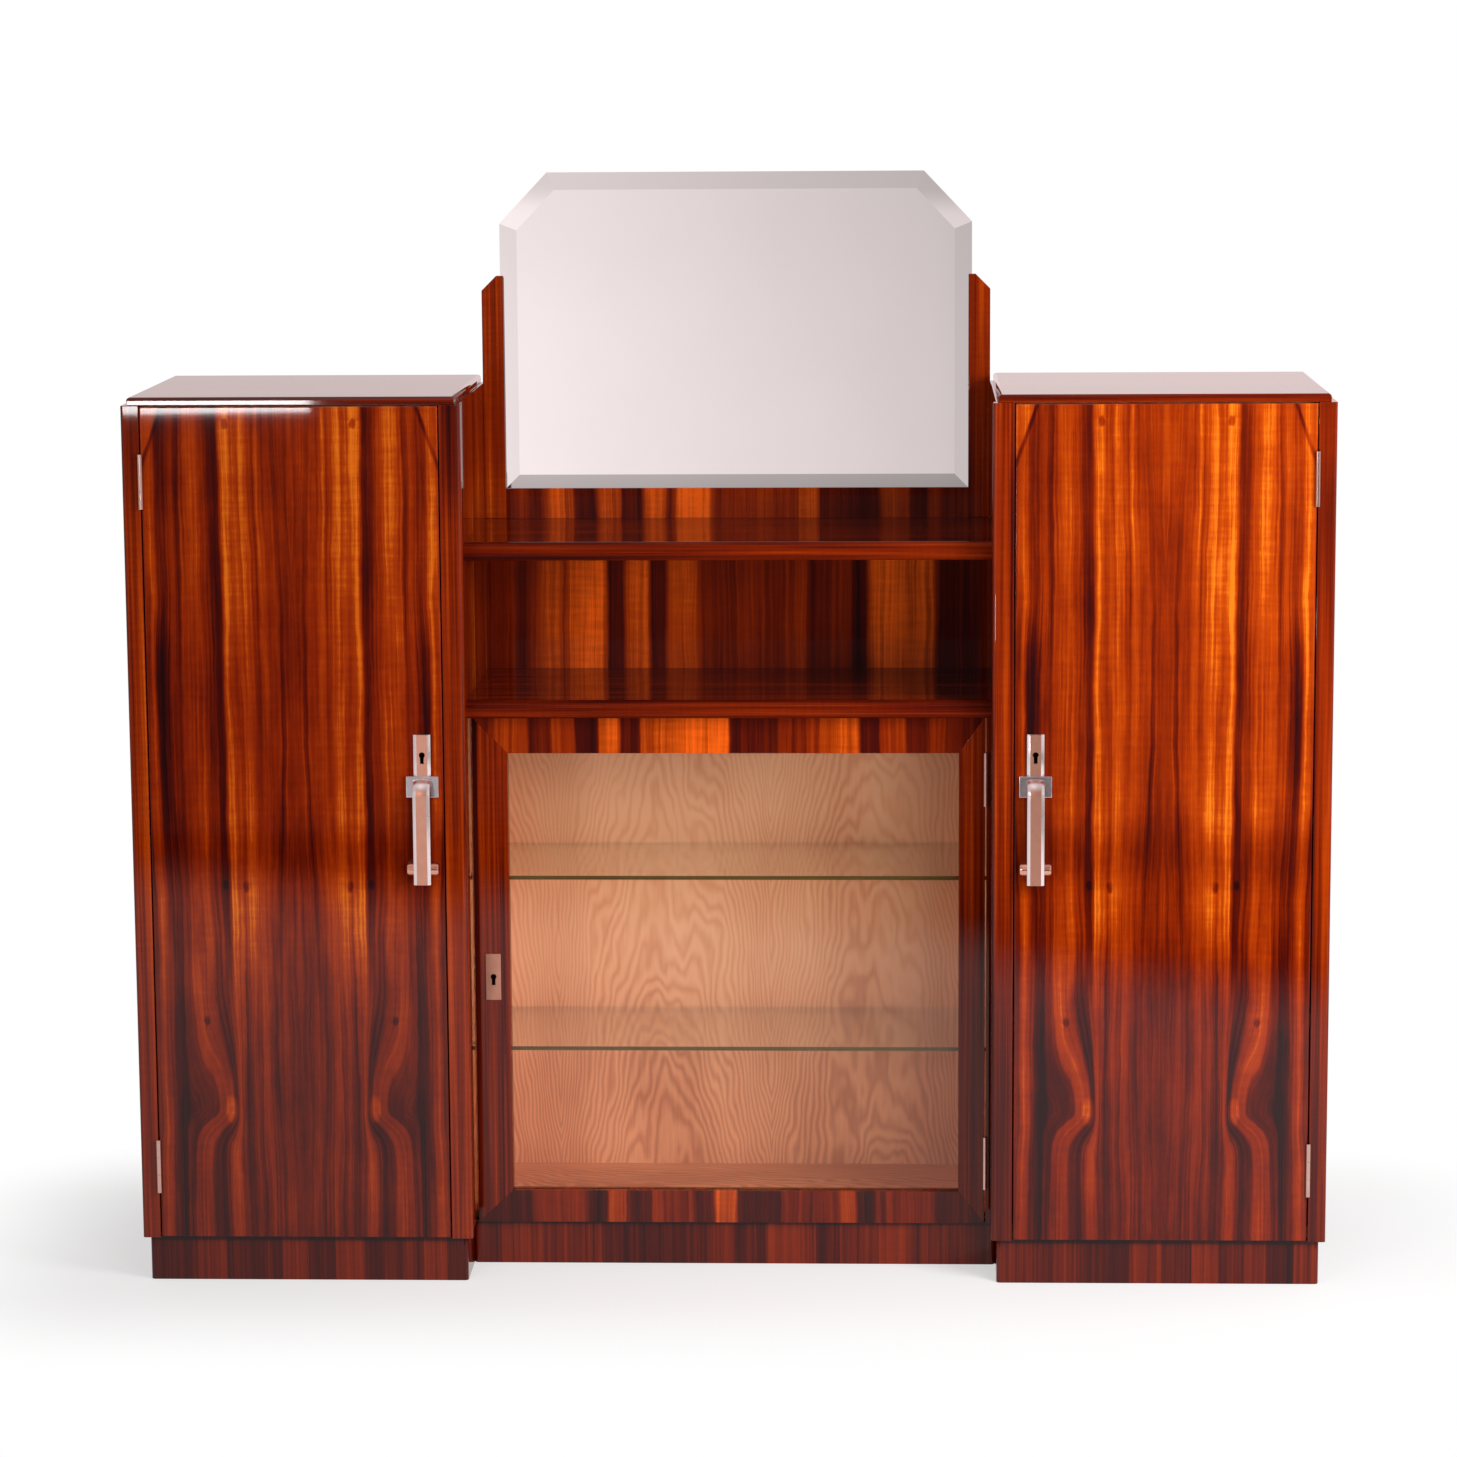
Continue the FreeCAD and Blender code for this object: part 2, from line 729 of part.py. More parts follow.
def lock(prefix, hand, edge, door_back, key):
    """A lock case screwed to the back of a door and the bolt that slides in it."""
    near = f"{edge} + lock_inset"
    heights = (f"{key} - lock_height / 2", f"{key} + lock_height / 2")
    case = block(
        across(hand, near, f"{near} + lock_width"),
        (door_back, f"{door_back} + lock_depth"),
        heights,
    )
    cut(
        case,
        across(hand, near, f"{near} + bolt_length + bolt_clearance"),
        bolt_depths(door_back, "bolt_clearance"),
        bolt_heights(key, "bolt_clearance"),
    )
    keep(case, f"{prefix}_lock_case")
    bolt = block(
        across(hand, near, f"{near} + bolt_length"),
        bolt_depths(door_back),
        bolt_heights(key),
    )
    keep(bolt, f"{prefix}_lock_bolt")


def bevelled_section(back, thickness):
    """Cross-section of the handle's strip, whose long edges are bevelled."""
    half = "strip_width / 2"
    face = "strip_width / 2 - strip_bevel"
    right = [
        (half, f"-({back})"),
        (half, f"-({back} + {thickness} - strip_edge)"),
        (face, f"-({back} + {thickness})"),
    ]
    left = [(f"-({x})", y) for x, y in reversed(right)]
    return right + left


def place_on_door(body, hand):
    """Move a handle piece from its own frame to its place on a door's front."""
    body.setExpression("Placement.Base.x", formula(f"{hand} * (key_place)"))
    body.setExpression("Placement.Base.y", formula("front"))


def key_plate(side, hand):
    plate = new_body()
    section = outline(plate, "XY_Plane", "plate_low", bevelled_section("0", "plate_thickness"))
    pad(plate, section, "plate_below + plate_above")
    cut_keyhole(plate, "0", "key_height", ("-(plate_thickness)", "0"))
    place_on_door(plate, hand)
    keep(plate, f"{side}_key_plate")


def handle_base(side, hand):
    """Square plate on the door that the bent end of the grip is fixed to."""
    base = block(
        ("-(base_width / 2)", "base_width / 2"),
        ("-(base_thickness)", "0"),
        ("base_low", "plate_low"),
    )
    place_on_door(base, hand)
    keep(base, f"{side}_handle_base")


def handle_grip(side, hand):
    """A bevelled strip that rises along the door and bends back to its base."""
    grip = new_body()
    section = outline(grip, "XY_Plane", "bar_low", bevelled_section("bar_standoff", "bar_thickness"))
    path = new_sketch(grip, "YZ_Plane", "0")
    line_y = -value("bar_middle")
    low = value("bar_low")
    bend = value("bend_low")
    centre = FreeCAD.Vector(-value("base_thickness"), bend, 0)
    circle = Part.Circle(centre, FreeCAD.Vector(0, 0, 1), value("bend_radius"))
    path.addGeometry(
        Part.LineSegment(FreeCAD.Vector(line_y, low, 0), FreeCAD.Vector(line_y, bend, 0)), False
    )
    path.addGeometry(Part.ArcOfCircle(circle, math.pi / 2, math.pi), False)
    path.addConstraint(Sketcher.Constraint("Coincident", 0, 2, 1, 2))
    pin_point(path, 0, 1, ("-(bar_middle)", "bar_low"))
    pin_point(path, 0, 2, ("-(bar_middle)", "bend_low"))
    pin_point(path, 1, 3, ("-(base_thickness)", "bend_low"))
    path.addConstraint(Sketcher.Constraint("Vertical", 1, 3, 1, 1))
    doc.recompute()
    sweep = grip.newObject("PartDesign::AdditivePipe", "Grip")
    sweep.Profile = section
    sweep.Spine = (path, ["Edge1", "Edge2"])
    place_on_door(grip, hand)
    keep(grip, f"{side}_handle_grip")


def handle_roller(side, hand):
    """Round cross-piece that holds the grip's free end off the door."""
    roller = new_body()
    middle = "-(bar_standoff / 2)"
    start = ("-(roller_length / 2)", middle, "roller_height")
    add_rod(roller, "x", start, "roller_radius", "roller_length")
    chamfer(
        roller,
        "roller_chamfer",
        {"x": "-(roller_length / 2)"},
        {"x": "roller_length / 2"},
    )
    length = ("-(roller_length)", "roller_length")
    heights = ("roller_height - 2 * roller_radius", "roller_height + 2 * roller_radius")
    cut(roller, length, ("0", "roller_radius"), heights)
    cut(roller, length, ("-(bar_standoff + roller_radius)", "-(bar_standoff)"), heights)
    place_on_door(roller, hand)
    keep(roller, f"{side}_handle_roller")


def side_door(side, hand):
    """A veneered cupboard door with its hinge leaves, lock and handle."""
    door = block(
        across(hand, "door_near", "door_far"),
        ("front", "door_back"),
        ("door_low", "door_high"),
    )
    edges = [{"y": "front", "z": place} for place in ("door_low", "door_high")]
    edges += [{"y": "front", "x": f"{hand} * ({place})"} for place in ("door_near", "door_far")]
    round_over(door, "door_arris", *edges)
    seat = ("door_far - leaf_thickness", "door_far")
    cut_leaf_seats(door, hand, *seat, "front", SIDE_HINGES)
    cut_keyhole(door, f"{hand} * (key_place)", "key_height", ("front", "door_back"))
    keep(door, f"{side}_door_panel")
    leaves = [butt_hinge(hand, "door_far", "front", low) for low in SIDE_HINGES]
    group(f"{side}_door_hinge_leaves", leaves)
    lock(side, hand, "door_near", "door_back", "key_height")
    key_plate(side, hand)
    handle_base(side, hand)
    handle_grip(side, hand)
    handle_roller(side, hand)


def frame_member(corners):
    """One mitred member of the glazed door, rebated at the back for the glass."""
    member = upright_slab(corners, "centre_front", "door_thickness")
    cut(
        member,
        ("opening_left - glass_rebate", "opening_right + glass_rebate"),
        ("pane_front", "centre_door_back"),
        ("opening_low - glass_rebate", "opening_high + glass_rebate"),
    )
    return member


def glazed_frame():
    """Four mitred members round the glass, with the lock in the left-hand one."""
    outer = {
        "low_left": ("centre_door_left", "plinth_height"),
        "low_right": ("centre_door_right", "plinth_height"),
        "high_left": ("centre_door_left", "centre_door_high"),
        "high_right": ("centre_door_right", "centre_door_high"),
    }
    inner = {
        "low_left": ("opening_left", "opening_low"),
        "low_right": ("opening_right", "opening_low"),
        "high_left": ("opening_left", "opening_high"),
        "high_right": ("opening_right", "opening_high"),
    }
    members = {
        "lock_stile": ("high_left", "low_left"),
        "hinge_stile": ("low_right", "high_right"),
        "top_rail": ("high_right", "high_left"),
        "bottom_rail": ("low_left", "low_right"),
    }
    for name, (start, end) in members.items():
        member = frame_member([outer[start], outer[end], inner[end], inner[start]])
        if name == "lock_stile":
            through = ("centre_front", "centre_door_back")
            cut_keyhole(member, "centre_key_place", "centre_key_height", through)
        if name == "hinge_stile":
            seat = ("centre_door_right - leaf_thickness", "centre_door_right")
            cut_leaf_seats(member, 1, *seat, "centre_front", CENTRE_HINGES)
        keep(member, f"centre_door_{name}")


def glazing():
    """The pane in its rebate and the four beads that hold it from behind."""
    edge = "glass_rebate - glass_play"
    pane = block(
        (f"opening_left - ({edge})", f"opening_right + {edge}"),
        ("pane_front", "bead_front"),
        (f"opening_low - ({edge})", f"opening_high + {edge}"),
    )
    keep(pane, "centre_door_glass")
    depth = ("bead_front", "centre_door_back")
    full = ("opening_left - glass_rebate", "opening_right + glass_rebate")
    between = ("opening_low", "opening_high")
    beads = [
        block(full, depth, ("opening_low - glass_rebate", "opening_low")),
        block(full, depth, ("opening_high", "opening_high + glass_rebate")),
        block((full[0], "opening_left"), depth, between),
        block(("opening_right", full[1]), depth, between),
    ]
    group("centre_door_glazing_beads", beads)


def centre_door():
    """The glazed door of the display, hung on a strip beside the right cupboard."""
    strip = block(
        ("strip_face", "inner_face"),
        ("centre_front", "centre_door_back"),
        ("plinth_height", "lower_shelf_under"),
    )
    seat = ("strip_face", "strip_face + leaf_thickness")
    cut_leaf_seats(strip, 1, *seat, "centre_front", CENTRE_HINGES)
    keep(strip, "centre_hinge_strip")
    glazed_frame()
    glazing()
    leaves = [butt_hinge(1, "centre_door_right", "centre_front", low) for low in CENTRE_HINGES]
    group("centre_door_hinge_leaves", leaves)
    lock("centre", 1, "centre_door_left", "centre_door_back", "centre_key_height")
    face_y = ("centre_front - escutcheon_thickness", "centre_front")
    escutcheon = block(
        ("centre_key_place - escutcheon_width / 2", "centre_key_place + escutcheon_width / 2"),
        face_y,
        (
            "centre_key_height - escutcheon_height / 2",
            "centre_key_height + escutcheon_height / 2",
        ),
    )
    cut_keyhole(escutcheon, "centre_key_place", "centre_key_height", face_y)
    keep(escutcheon, "centre_escutcheon")


def check_model():
    """Stop if any object failed or any sub-part is empty or unsound."""
    doc.recompute()
    for item in doc.Objects:
        if "Invalid" in item.State or "Error" in item.State:
            raise RuntimeError(f"{item.Label} failed: {item.State}")
    for piece in subparts:
        if piece.Shape.isNull() or not piece.Shape.isValid() or not piece.Shape.Solids:
            raise RuntimeError(f"{piece.Label} has no sound solid")


for side, hand in SIDES.items():
    cupboard(side, hand)
centre_boards()
for side, hand in SIDES.items():
    mirror_post(side, hand)
mirror_apron()
mirror_plate()
mirror_backing()
for side, hand in SIDES.items():
    side_door(side, hand)
centre_door()
group("shelf_battens", shelf_battens)
group("glass_shelf_rests", glass_rests)
group("strike_plates", strike_plates)
group("hinge_frame_leaves", frame_leaves)
group("hinge_pins", hinge_pins)
check_model()
os.makedirs("parts", exist_ok=True)
for piece in subparts:
    piece.Shape.exportStep(f"parts/{piece.Label}.step")
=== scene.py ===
"""Looks of the mirrored sideboard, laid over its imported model.

The file is laid out as an add-on: settings, one operator for each group of pieces,
a panel that lists them, and a main function that runs them in order.
"""

import json
import math

import bmesh
import bpy
from mathutils import Matrix, Vector

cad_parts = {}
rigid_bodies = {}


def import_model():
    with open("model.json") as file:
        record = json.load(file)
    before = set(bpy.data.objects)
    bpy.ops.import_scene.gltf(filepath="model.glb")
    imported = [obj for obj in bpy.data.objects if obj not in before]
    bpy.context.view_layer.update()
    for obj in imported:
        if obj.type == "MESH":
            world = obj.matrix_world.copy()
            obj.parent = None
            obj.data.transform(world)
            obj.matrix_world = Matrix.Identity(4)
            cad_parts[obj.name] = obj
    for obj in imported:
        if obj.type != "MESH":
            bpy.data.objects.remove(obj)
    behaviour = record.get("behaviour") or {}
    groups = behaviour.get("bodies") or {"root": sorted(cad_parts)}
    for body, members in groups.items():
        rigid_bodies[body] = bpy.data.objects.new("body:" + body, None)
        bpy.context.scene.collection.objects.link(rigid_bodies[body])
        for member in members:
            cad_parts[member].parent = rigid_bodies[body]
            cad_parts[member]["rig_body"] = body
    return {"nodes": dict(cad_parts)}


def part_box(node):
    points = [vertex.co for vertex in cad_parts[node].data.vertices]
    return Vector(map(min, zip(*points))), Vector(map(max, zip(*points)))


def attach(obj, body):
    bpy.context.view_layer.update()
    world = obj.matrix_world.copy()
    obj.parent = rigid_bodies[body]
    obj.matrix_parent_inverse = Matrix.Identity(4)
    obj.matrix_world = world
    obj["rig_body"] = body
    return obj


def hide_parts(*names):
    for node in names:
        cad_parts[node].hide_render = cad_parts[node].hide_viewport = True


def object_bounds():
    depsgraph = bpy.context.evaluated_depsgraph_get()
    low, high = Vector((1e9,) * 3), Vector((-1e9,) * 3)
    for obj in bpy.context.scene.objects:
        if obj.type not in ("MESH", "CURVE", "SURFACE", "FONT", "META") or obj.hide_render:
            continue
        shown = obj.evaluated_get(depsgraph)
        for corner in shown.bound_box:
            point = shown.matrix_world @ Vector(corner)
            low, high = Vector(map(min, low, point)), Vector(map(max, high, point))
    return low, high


bl_info = {
    "name": "Mirrored sideboard looks",
    "version": (1, 0, 0),
    "blender": (4, 5, 0),
    "location": "View3D > Sidebar > Sideboard",
    "description": "Finishes, fittings and studio for the mirrored sideboard",
    "category": "Object",
}

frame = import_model()
CAD_BOX = [list(corner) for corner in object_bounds()]
SIDES = ("left", "right")

MM = 0.001
MERGE_DISTANCE = 1e-5
FLAT_ANGLE = math.radians(0.5)
FLAT_COSINE = math.cos(FLAT_ANGLE)
EDGE_ANGLE = math.radians(25)
CREASE_ANGLE = math.radians(40)
# Width of a soft change from one finish to another at a face
HAIR = 0.2 * MM
# Depth that boards run into the sides, less a hair
HOUSED = 7.8 * MM

DOOR_LOW, DOOR_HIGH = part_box("right_door_panel")
DOOR_CENTRE = (DOOR_LOW.x + DOOR_HIGH.x) / 2
DOOR_HALF = (DOOR_HIGH.x - DOOR_LOW.x) / 2
SHELF_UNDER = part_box("lower_shelf")[0].z
PLINTH_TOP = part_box("centre_plinth")[1].z
DISPLAY_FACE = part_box("centre_bottom_board")[1].x
GLASS_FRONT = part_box("glass_shelves")[0].y


class Wire:
    """A shader socket: arithmetic adds Math nodes, and node() adds any other node."""

    def __init__(self, tree, socket):
        self.tree = tree
        self.socket = socket

    def node(self, kind, settings, sockets, output=0):
        """Add a node, with its settings first and then its sockets' values or links."""
        made = self.tree.nodes.new(f"ShaderNode{kind}")
        for name, setting in settings.items():
            if name == "stops":
                lay_stops(made.color_ramp, *setting)
            else:
                setattr(made, name, setting)
        for name, given in sockets.items():
            if isinstance(given, Wire):
                self.tree.links.new(given.socket, made.inputs[name])
            else:
                made.inputs[name].default_value = given
        return Wire(self.tree, made.outputs[output])

    def maths(self, operation, first, second=0.0):
        return self.node("Math", {"operation": operation}, {0: first, 1: second})

    def __add__(self, other):
        return self.maths("ADD", self, other)

    __radd__ = __add__

    def __sub__(self, other):
        return self.maths("SUBTRACT", self, other)

    def __rsub__(self, other):
        return self.maths("SUBTRACT", other, self)

    def __mul__(self, other):
        return self.maths("MULTIPLY", self, other)

    __rmul__ = __mul__

    def __truediv__(self, other):
        return self.maths("DIVIDE", self, other)

    def __pow__(self, other):
        return self.maths("POWER", self, other)

    def __abs__(self):
        return self.maths("ABSOLUTE", self)

    def larger(self, other):
        return self.maths("MAXIMUM", self, other)

    def smaller(self, other):
        return self.maths("MINIMUM", self, other)

    def rise(self, low, high):
        """A soft step from 0 at low to 1 at high."""
        settings = {"interpolation_type": "SMOOTHSTEP"}
        return self.node("MapRange", settings, {"Value": self, "From Min": low, "From Max": high})

    def mix(self, first, second, kind="MIX"):
        """A colour that goes from the first to the second as this value rises."""
        settings = {"data_type": "RGBA", "blend_type": kind}
        return self.node("Mix", settings, {0: self, 6: first, 7: second}, 2)

    def ramp(self, stops, steps="LINEAR"):
        return self.node("ValToRGB", {"stops": (stops, steps)}, {"Fac": self})

    def parts(self):
        """The three numbers of a vector."""
        return [self.node("SeparateXYZ", {}, {"Vector": self}, number) for number in range(3)]


def lay_stops(ramp, stops, steps):
    """Set a colour ramp's stops, which are pairs of a place and a grey or a colour."""
    ramp.interpolation = steps
    while len(ramp.elements) < len(stops):
        ramp.elements.new(1.0)
    for element, (place, shade) in zip(ramp.elements, stops):
        element.position = place
        element.color = solid(shade)


def solid(shade):
    """A grey or a colour with its alpha."""
    if isinstance(shade, float):
        return (shade, shade, shade, 1.0)
    return (*shade, 1.0)


def scaled(tint, factor):
    """A colour times a factor."""
    return tuple(factor * part for part in tint)


def new_finish(name, shine):
    """A named material with its shader's constants set, and its object coordinates."""
    material = bpy.data.materials.new(name)
    material.use_nodes = True
    tree = material.node_tree
    shader = tree.nodes["Principled BSDF"]
    for socket, number in shine.items():
        shader.inputs[socket].default_value = number
    place = tree.nodes.new("ShaderNodeTexCoord").outputs["Object"]
    return material, Wire(tree, place)


def feed(material, wires):
    """Link what changes over the surface to the shader."""
    tree = material.node_tree
    for socket, wire in wires.items():
        tree.links.new(wire.socket, tree.nodes["Principled BSDF"].inputs[socket])


def relief(height, strength, distance):
    """A bump from a height that changes over the surface."""
    sockets = {"Height": height, "Strength": strength, "Distance": distance}
    return height.node("Bump", {}, sockets)


def dress(material, *nodes):
    """Give a finish to carried-over nodes."""
    for node in nodes:
        slots = frame["nodes"][node].data.materials
        slots.clear()
        slots.append(material)


POLISH = {
    "Roughness": 0.5,
    "Specular IOR Level": 0.0,
    "Coat Weight": 1.0,
    "Coat Roughness": 0.03,
    "Coat IOR": 1.34,
}
SLAB_POLISH = {**POLISH, "Coat Roughness": 0.05, "Coat IOR": 1.6}
SATIN = {"Roughness": 0.5, "Specular IOR Level": 0.3}


def grain(across, along, fine, slow, detail=3.0, roughness=0.55, seed=0.0):
    """Noise drawn out along the grain, in cycles a metre across it and along it."""
    sockets = {"X": across * fine, "Y": seed, "Z": along * slow}
    place = across.node("CombineXYZ", {}, sockets)
    sockets = {"Vector": place, "Scale": 1.0, "Detail": detail, "Roughness": roughness}
    return across.node("TexNoise", {}, sockets)


def strips(across, count, seed):
    """A tone for each of the strips of veneer laid side by side, count to a metre."""
    sockets = {"W": across * count + seed, "Scale": 1.0}
    cell = across.node("TexVoronoi", {"voronoi_dimensions": "1D"}, sockets, 1)
    return cell.node("SeparateColor", {}, {"Color": cell}, 0)


# How strongly each part of the grain shows in the striped wood
STREAKS = 1.05
LINES = 0.80
STRIPES = 0.22
HAIRS = 0.10
PORES = 0.05
RIPPLE = 0.34


def rosewood(tone, across, along, veneer, seed=0.0, lined=1.0, bright=None):
    """Colour of the striped wood: streaks, lines and pores on a tone from dark to amber."""
    streaks = grain(across, along, 55, 0.9, 4.0, 0.65, seed + 7) - 0.5
    stripes = grain(across, along, 80, 0.8, 2.0, 0.5, seed + 9).rise(0.56, 0.68)
    lines = grain(across, along, 190, 1.6, 3.0, 0.6, seed + 11) - 0.5
    hairs = grain(across, along, 520, 3.0, 2.0, 0.5, seed + 23).rise(0.57, 0.70)
    ripple = grain(across, along, 16, 130, 2.0, 0.5, seed + 37) - 0.5
    pores = grain(across, along, 1500, 55, 1.0, 0.5, seed + 41).rise(0.62, 0.74)
    drawn = streaks * STREAKS + lines * LINES - stripes * STRIPES - hairs * HAIRS
    shade = tone + drawn * lined - pores * PORES
    shade = shade + ripple * (RIPPLE * lined) * tone * tone
    stops = (
        (0.02, tuple(veneer.ink)),
        (0.25, tuple(veneer.dark)),
        (0.42, tuple(veneer.russet)),
        (0.60, tuple(veneer.rust)),
        (0.80, tuple(veneer.orange)),
        (1.00, tuple(bright or veneer.amber)),
    )
    return shade.ramp(stops), lines + hairs * 0.3 - pores


# Tones across half of a tall door, from its middle to its edge, high up and low down
HIGH_BANDS = (
    (0.00, 0.66),
    (0.03, 0.42),
    (0.07, 0.62),
    (0.11, 0.32),
    (0.15, 0.58),
    (0.20, 0.66),
    (0.26, 0.70),
    (0.31, 0.86),
    (0.37, 0.88),
    (0.43, 0.85),
    (0.460, 0.78),
    (0.485, 0.22),
    (0.505, 0.24),
    (0.53, 0.50),
    (0.565, 0.46),
    (0.61, 0.74),
    (0.68, 0.78),
    (0.73, 0.66),
    (0.765, 0.34),
    (0.80, 0.58),
    (0.85, 0.50),
    (0.90, 0.48),
    (0.935, 0.76),
    (0.98, 0.72),
    (1.00, 0.45),
)
LOW_BANDS = (
    (0.00, 0.37),
    (0.10, 0.39),
    (0.20, 0.36),
    (0.26, 0.45),
    (0.29, 0.32),
    (0.33, 0.46),
    (0.37, 0.32),
    (0.42, 0.42),
    (0.46, 0.48),
    (0.50, 0.54),
    (0.535, 0.26),
    (0.60, 0.26),
    (0.635, 0.56),
    (0.69, 0.68),
    (0.73, 0.56),
    (0.765, 0.25),
    (0.845, 0.22),
    (0.88, 0.45),
    (0.93, 0.60),
    (0.97, 0.56),
    (1.00, 0.46),
)
# Heights between which the low figure gives way to the high one
FIGURE_LOW = 0.36
FIGURE_HIGH = 0.64
# Tone that the stripes are drawn towards above the belt, and how far
CALM_TONE = 0.56
CALM_SHARE = 0.32
# Painted light on the top of the right door: the tone it is drawn towards, and how far
PAINTED_LIGHT_TONE = 0.74
PAINTED_LIGHT_SHARE = 0.28
# Height of the dark belt where the two halves of the figure meet, its half height and depth of tone
BELT_UP = 0.665
BELT_HALF = 0.08
BELT_SHADE = 0.26
# Dark blotch by each edge, as a share of the door's half and up from the floor
BLOTCH_ACROSS = 0.87
BLOTCH_UP = 0.86
BLOTCH_SHADE = 0.36
# Where the figure draws in to a point, from the door's middle and up from the floor
EYE_ACROSS = 0.109
EYE_UP = 0.271
EYE_LIGHT = 0.24
# How far above and below the eye the stripes are drawn in, and by how much
EYE_ABOVE = 105 * MM
EYE_BELOW = 34 * MM
EYE_PULL = 36 * MM
# Small dark knots, from the door's middle and up from the floor
KNOTS = ((0.079, 0.616), (0.110, 0.618), (0.143, 0.409), (0.0955, 1.315))
KNOT_SHADE = 0.28
# Pale wedge in each top corner of a door, along the top and down the edge, with a dark line beside it
WEDGE_ACROSS = 0.030
WEDGE_DOWN = 0.085
WEDGE_TONE = 0.74
WEDGE_LINE = 0.26
# Painted light from the right: how much each door's veneer lightens to the right, in tone for a metre
PAINTED_LIGHT_SLOPE = 0.40
# Tone about which the stripes low at the sides of the right door part, and how far
PARTING_TONE = 0.42
PARTING = 0.60
MOTTLE = 0.60
DOOR_LINED = 0.85


def knot(across, along, centre_across, centre_up):
    """A small dark knot, longer along the grain."""
    aside = (across - centre_across) / (4 * MM)
    up = (along - centre_up) / (7 * MM)
    ragged = grain(across, along, 160, 90, 2.0, 0.5, 13.0) - 0.5
    return (aside * aside + up * up + ragged * 3.0).rise(2.2, 0.0)


def eye_pull(across, z):
    """How far the stripes are drawn in towards the eye: slowly above it, sharply below."""
    above = (z - EYE_UP).larger(0.0) / EYE_ABOVE
    below = (EYE_UP - z).larger(0.0) / EYE_BELOW
    lift = (above * above + below * below) * -1.0
    near = across.rise(0.088, 0.110) * across.rise(0.190, 0.122)
    return near * lift.maths("EXPONENT", lift) * EYE_PULL


def door_figure(x, z, veneer):
    """Book-matched figure of the two tall doors, mirrored about each door's middle, with painted light
    and shade laid over it.
    """
    across = abs(abs(x) - DOOR_CENTRE)
    wander = grain(across, z, 5, 1.5, 2.0, 0.5, 3.0) - 0.5
    uneven = grain(x, z, 5, 1.1, 1.0, 0.5, 5.0) - 0.5
    wave = grain(across, z, 30, 7.0, 3.0, 0.6, 7.0) - 0.5
    drift = across + wander * 0.030 + uneven * 0.010 + wave * 0.010 + eye_pull(across, z)
    place = drift / DOOR_HALF
    low = (z + uneven * 0.20 + wave * 0.12).rise(FIGURE_HIGH, FIGURE_LOW)
    high_tone = place.ramp(HIGH_BANDS)
    calm = z.rise(1.12, 0.95) * z.rise(0.68, 0.80)
    high_tone = high_tone + (CALM_TONE - high_tone) * calm * CALM_SHARE
    # Painted light: the top of the right door is drawn towards a bright tone
    bright = x.rise(0.0, 0.1) * z.rise(0.95, 1.25)
    high_tone = high_tone + (PAINTED_LIGHT_TONE - high_tone) * bright * PAINTED_LIGHT_SHARE
    tone = high_tone + low * (place.ramp(LOW_BANDS) - high_tone)
    belt = abs(z - BELT_UP + wave * 0.08).rise(BELT_HALF, 0.0)
    blotch = abs(place - BLOTCH_ACROSS).rise(0.075, 0.0)
    blotch = blotch * abs(z - BLOTCH_UP + wave * 0.1).rise(0.20, 0.04)
    tone = tone * (1.0 - BELT_SHADE * belt) - blotch * BLOTCH_SHADE
    sides = x.rise(0.0, 0.1) * place.rise(0.40, 0.54) * low * z.rise(0.12, 0.38)
    tone = tone + (tone - PARTING_TONE) * sides * PARTING
    aside = (across - EYE_ACROSS) / (9 * MM)
    up = (z - EYE_UP) / (20 * MM)
    tone = tone + (aside * aside + up * up).rise(1.8, 0.2) * EYE_LIGHT
    # Painted light: higher up, each door lightens towards its right edge
    middle = (x.rise(-0.1, 0.1) * 2.0 - 1.0) * DOOR_CENTRE
    tone = tone + (x - middle) * z.rise(0.60, 0.85) * PAINTED_LIGHT_SLOPE
    for centre in KNOTS:
        tone = tone - knot(across, z, *centre) * KNOT_SHADE
    wedge = (across - DOOR_HALF + WEDGE_ACROSS) / WEDGE_ACROSS - (DOOR_HIGH.z - z) / WEDGE_DOWN
    wedge = wedge + wave * 0.3
    line = abs(wedge + 0.05).rise(0.16, 0.02)
    tone = tone + wedge.rise(-0.02, 0.10) * (WEDGE_TONE - tone) - line * WEDGE_LINE
    mottle = grain(x, z, 18, 5.0, 5.0, 0.68, 9.0) - 0.5
    colour, height = rosewood(tone + mottle * MOTTLE, drift, z, veneer, lined=DOOR_LINED)
    # Painted shade in a cool tint, multiplied into the upper left door and the lower right door
    painted_shade_left = x.rise(0.0, -0.1) * z.rise(0.50, 0.75) * (1.0 - 0.5 * z.rise(0.90, 1.20))
    painted_shade_right_low = x.rise(0.0, 0.1) * z.rise(0.70, 0.45) * 0.8
    return (painted_shade_left + painted_shade_right_low).mix(colour, solid(tuple(veneer.painted_shade_tint)), "MULTIPLY"), height


def polished(name, figure, lining=None, shine=POLISH):
    """A glossy finish from a function of x, y and z, with an optional plain lining."""
    material, place = new_finish(name, shine)
    x, y, z = place.parts()
    colour, height = figure(x, y, z)
    if lining:
        mask, plain = lining(x, y, z)
        colour = mask.mix(colour, plain)
        feed(material, {"Coat Weight": 1.0 - mask * 0.9})
    feed(material, {"Base Color": colour, "Normal": relief(height, 0.05, 0.4 * MM)})
    return material


# Width of the leaves of the plain board, and how strongly each part of its figure shows
LEAF = 0.17
RINGS = 0.30
FIBRES = 0.40
PATCHES = 0.90
BOARD_TONE = 0.11


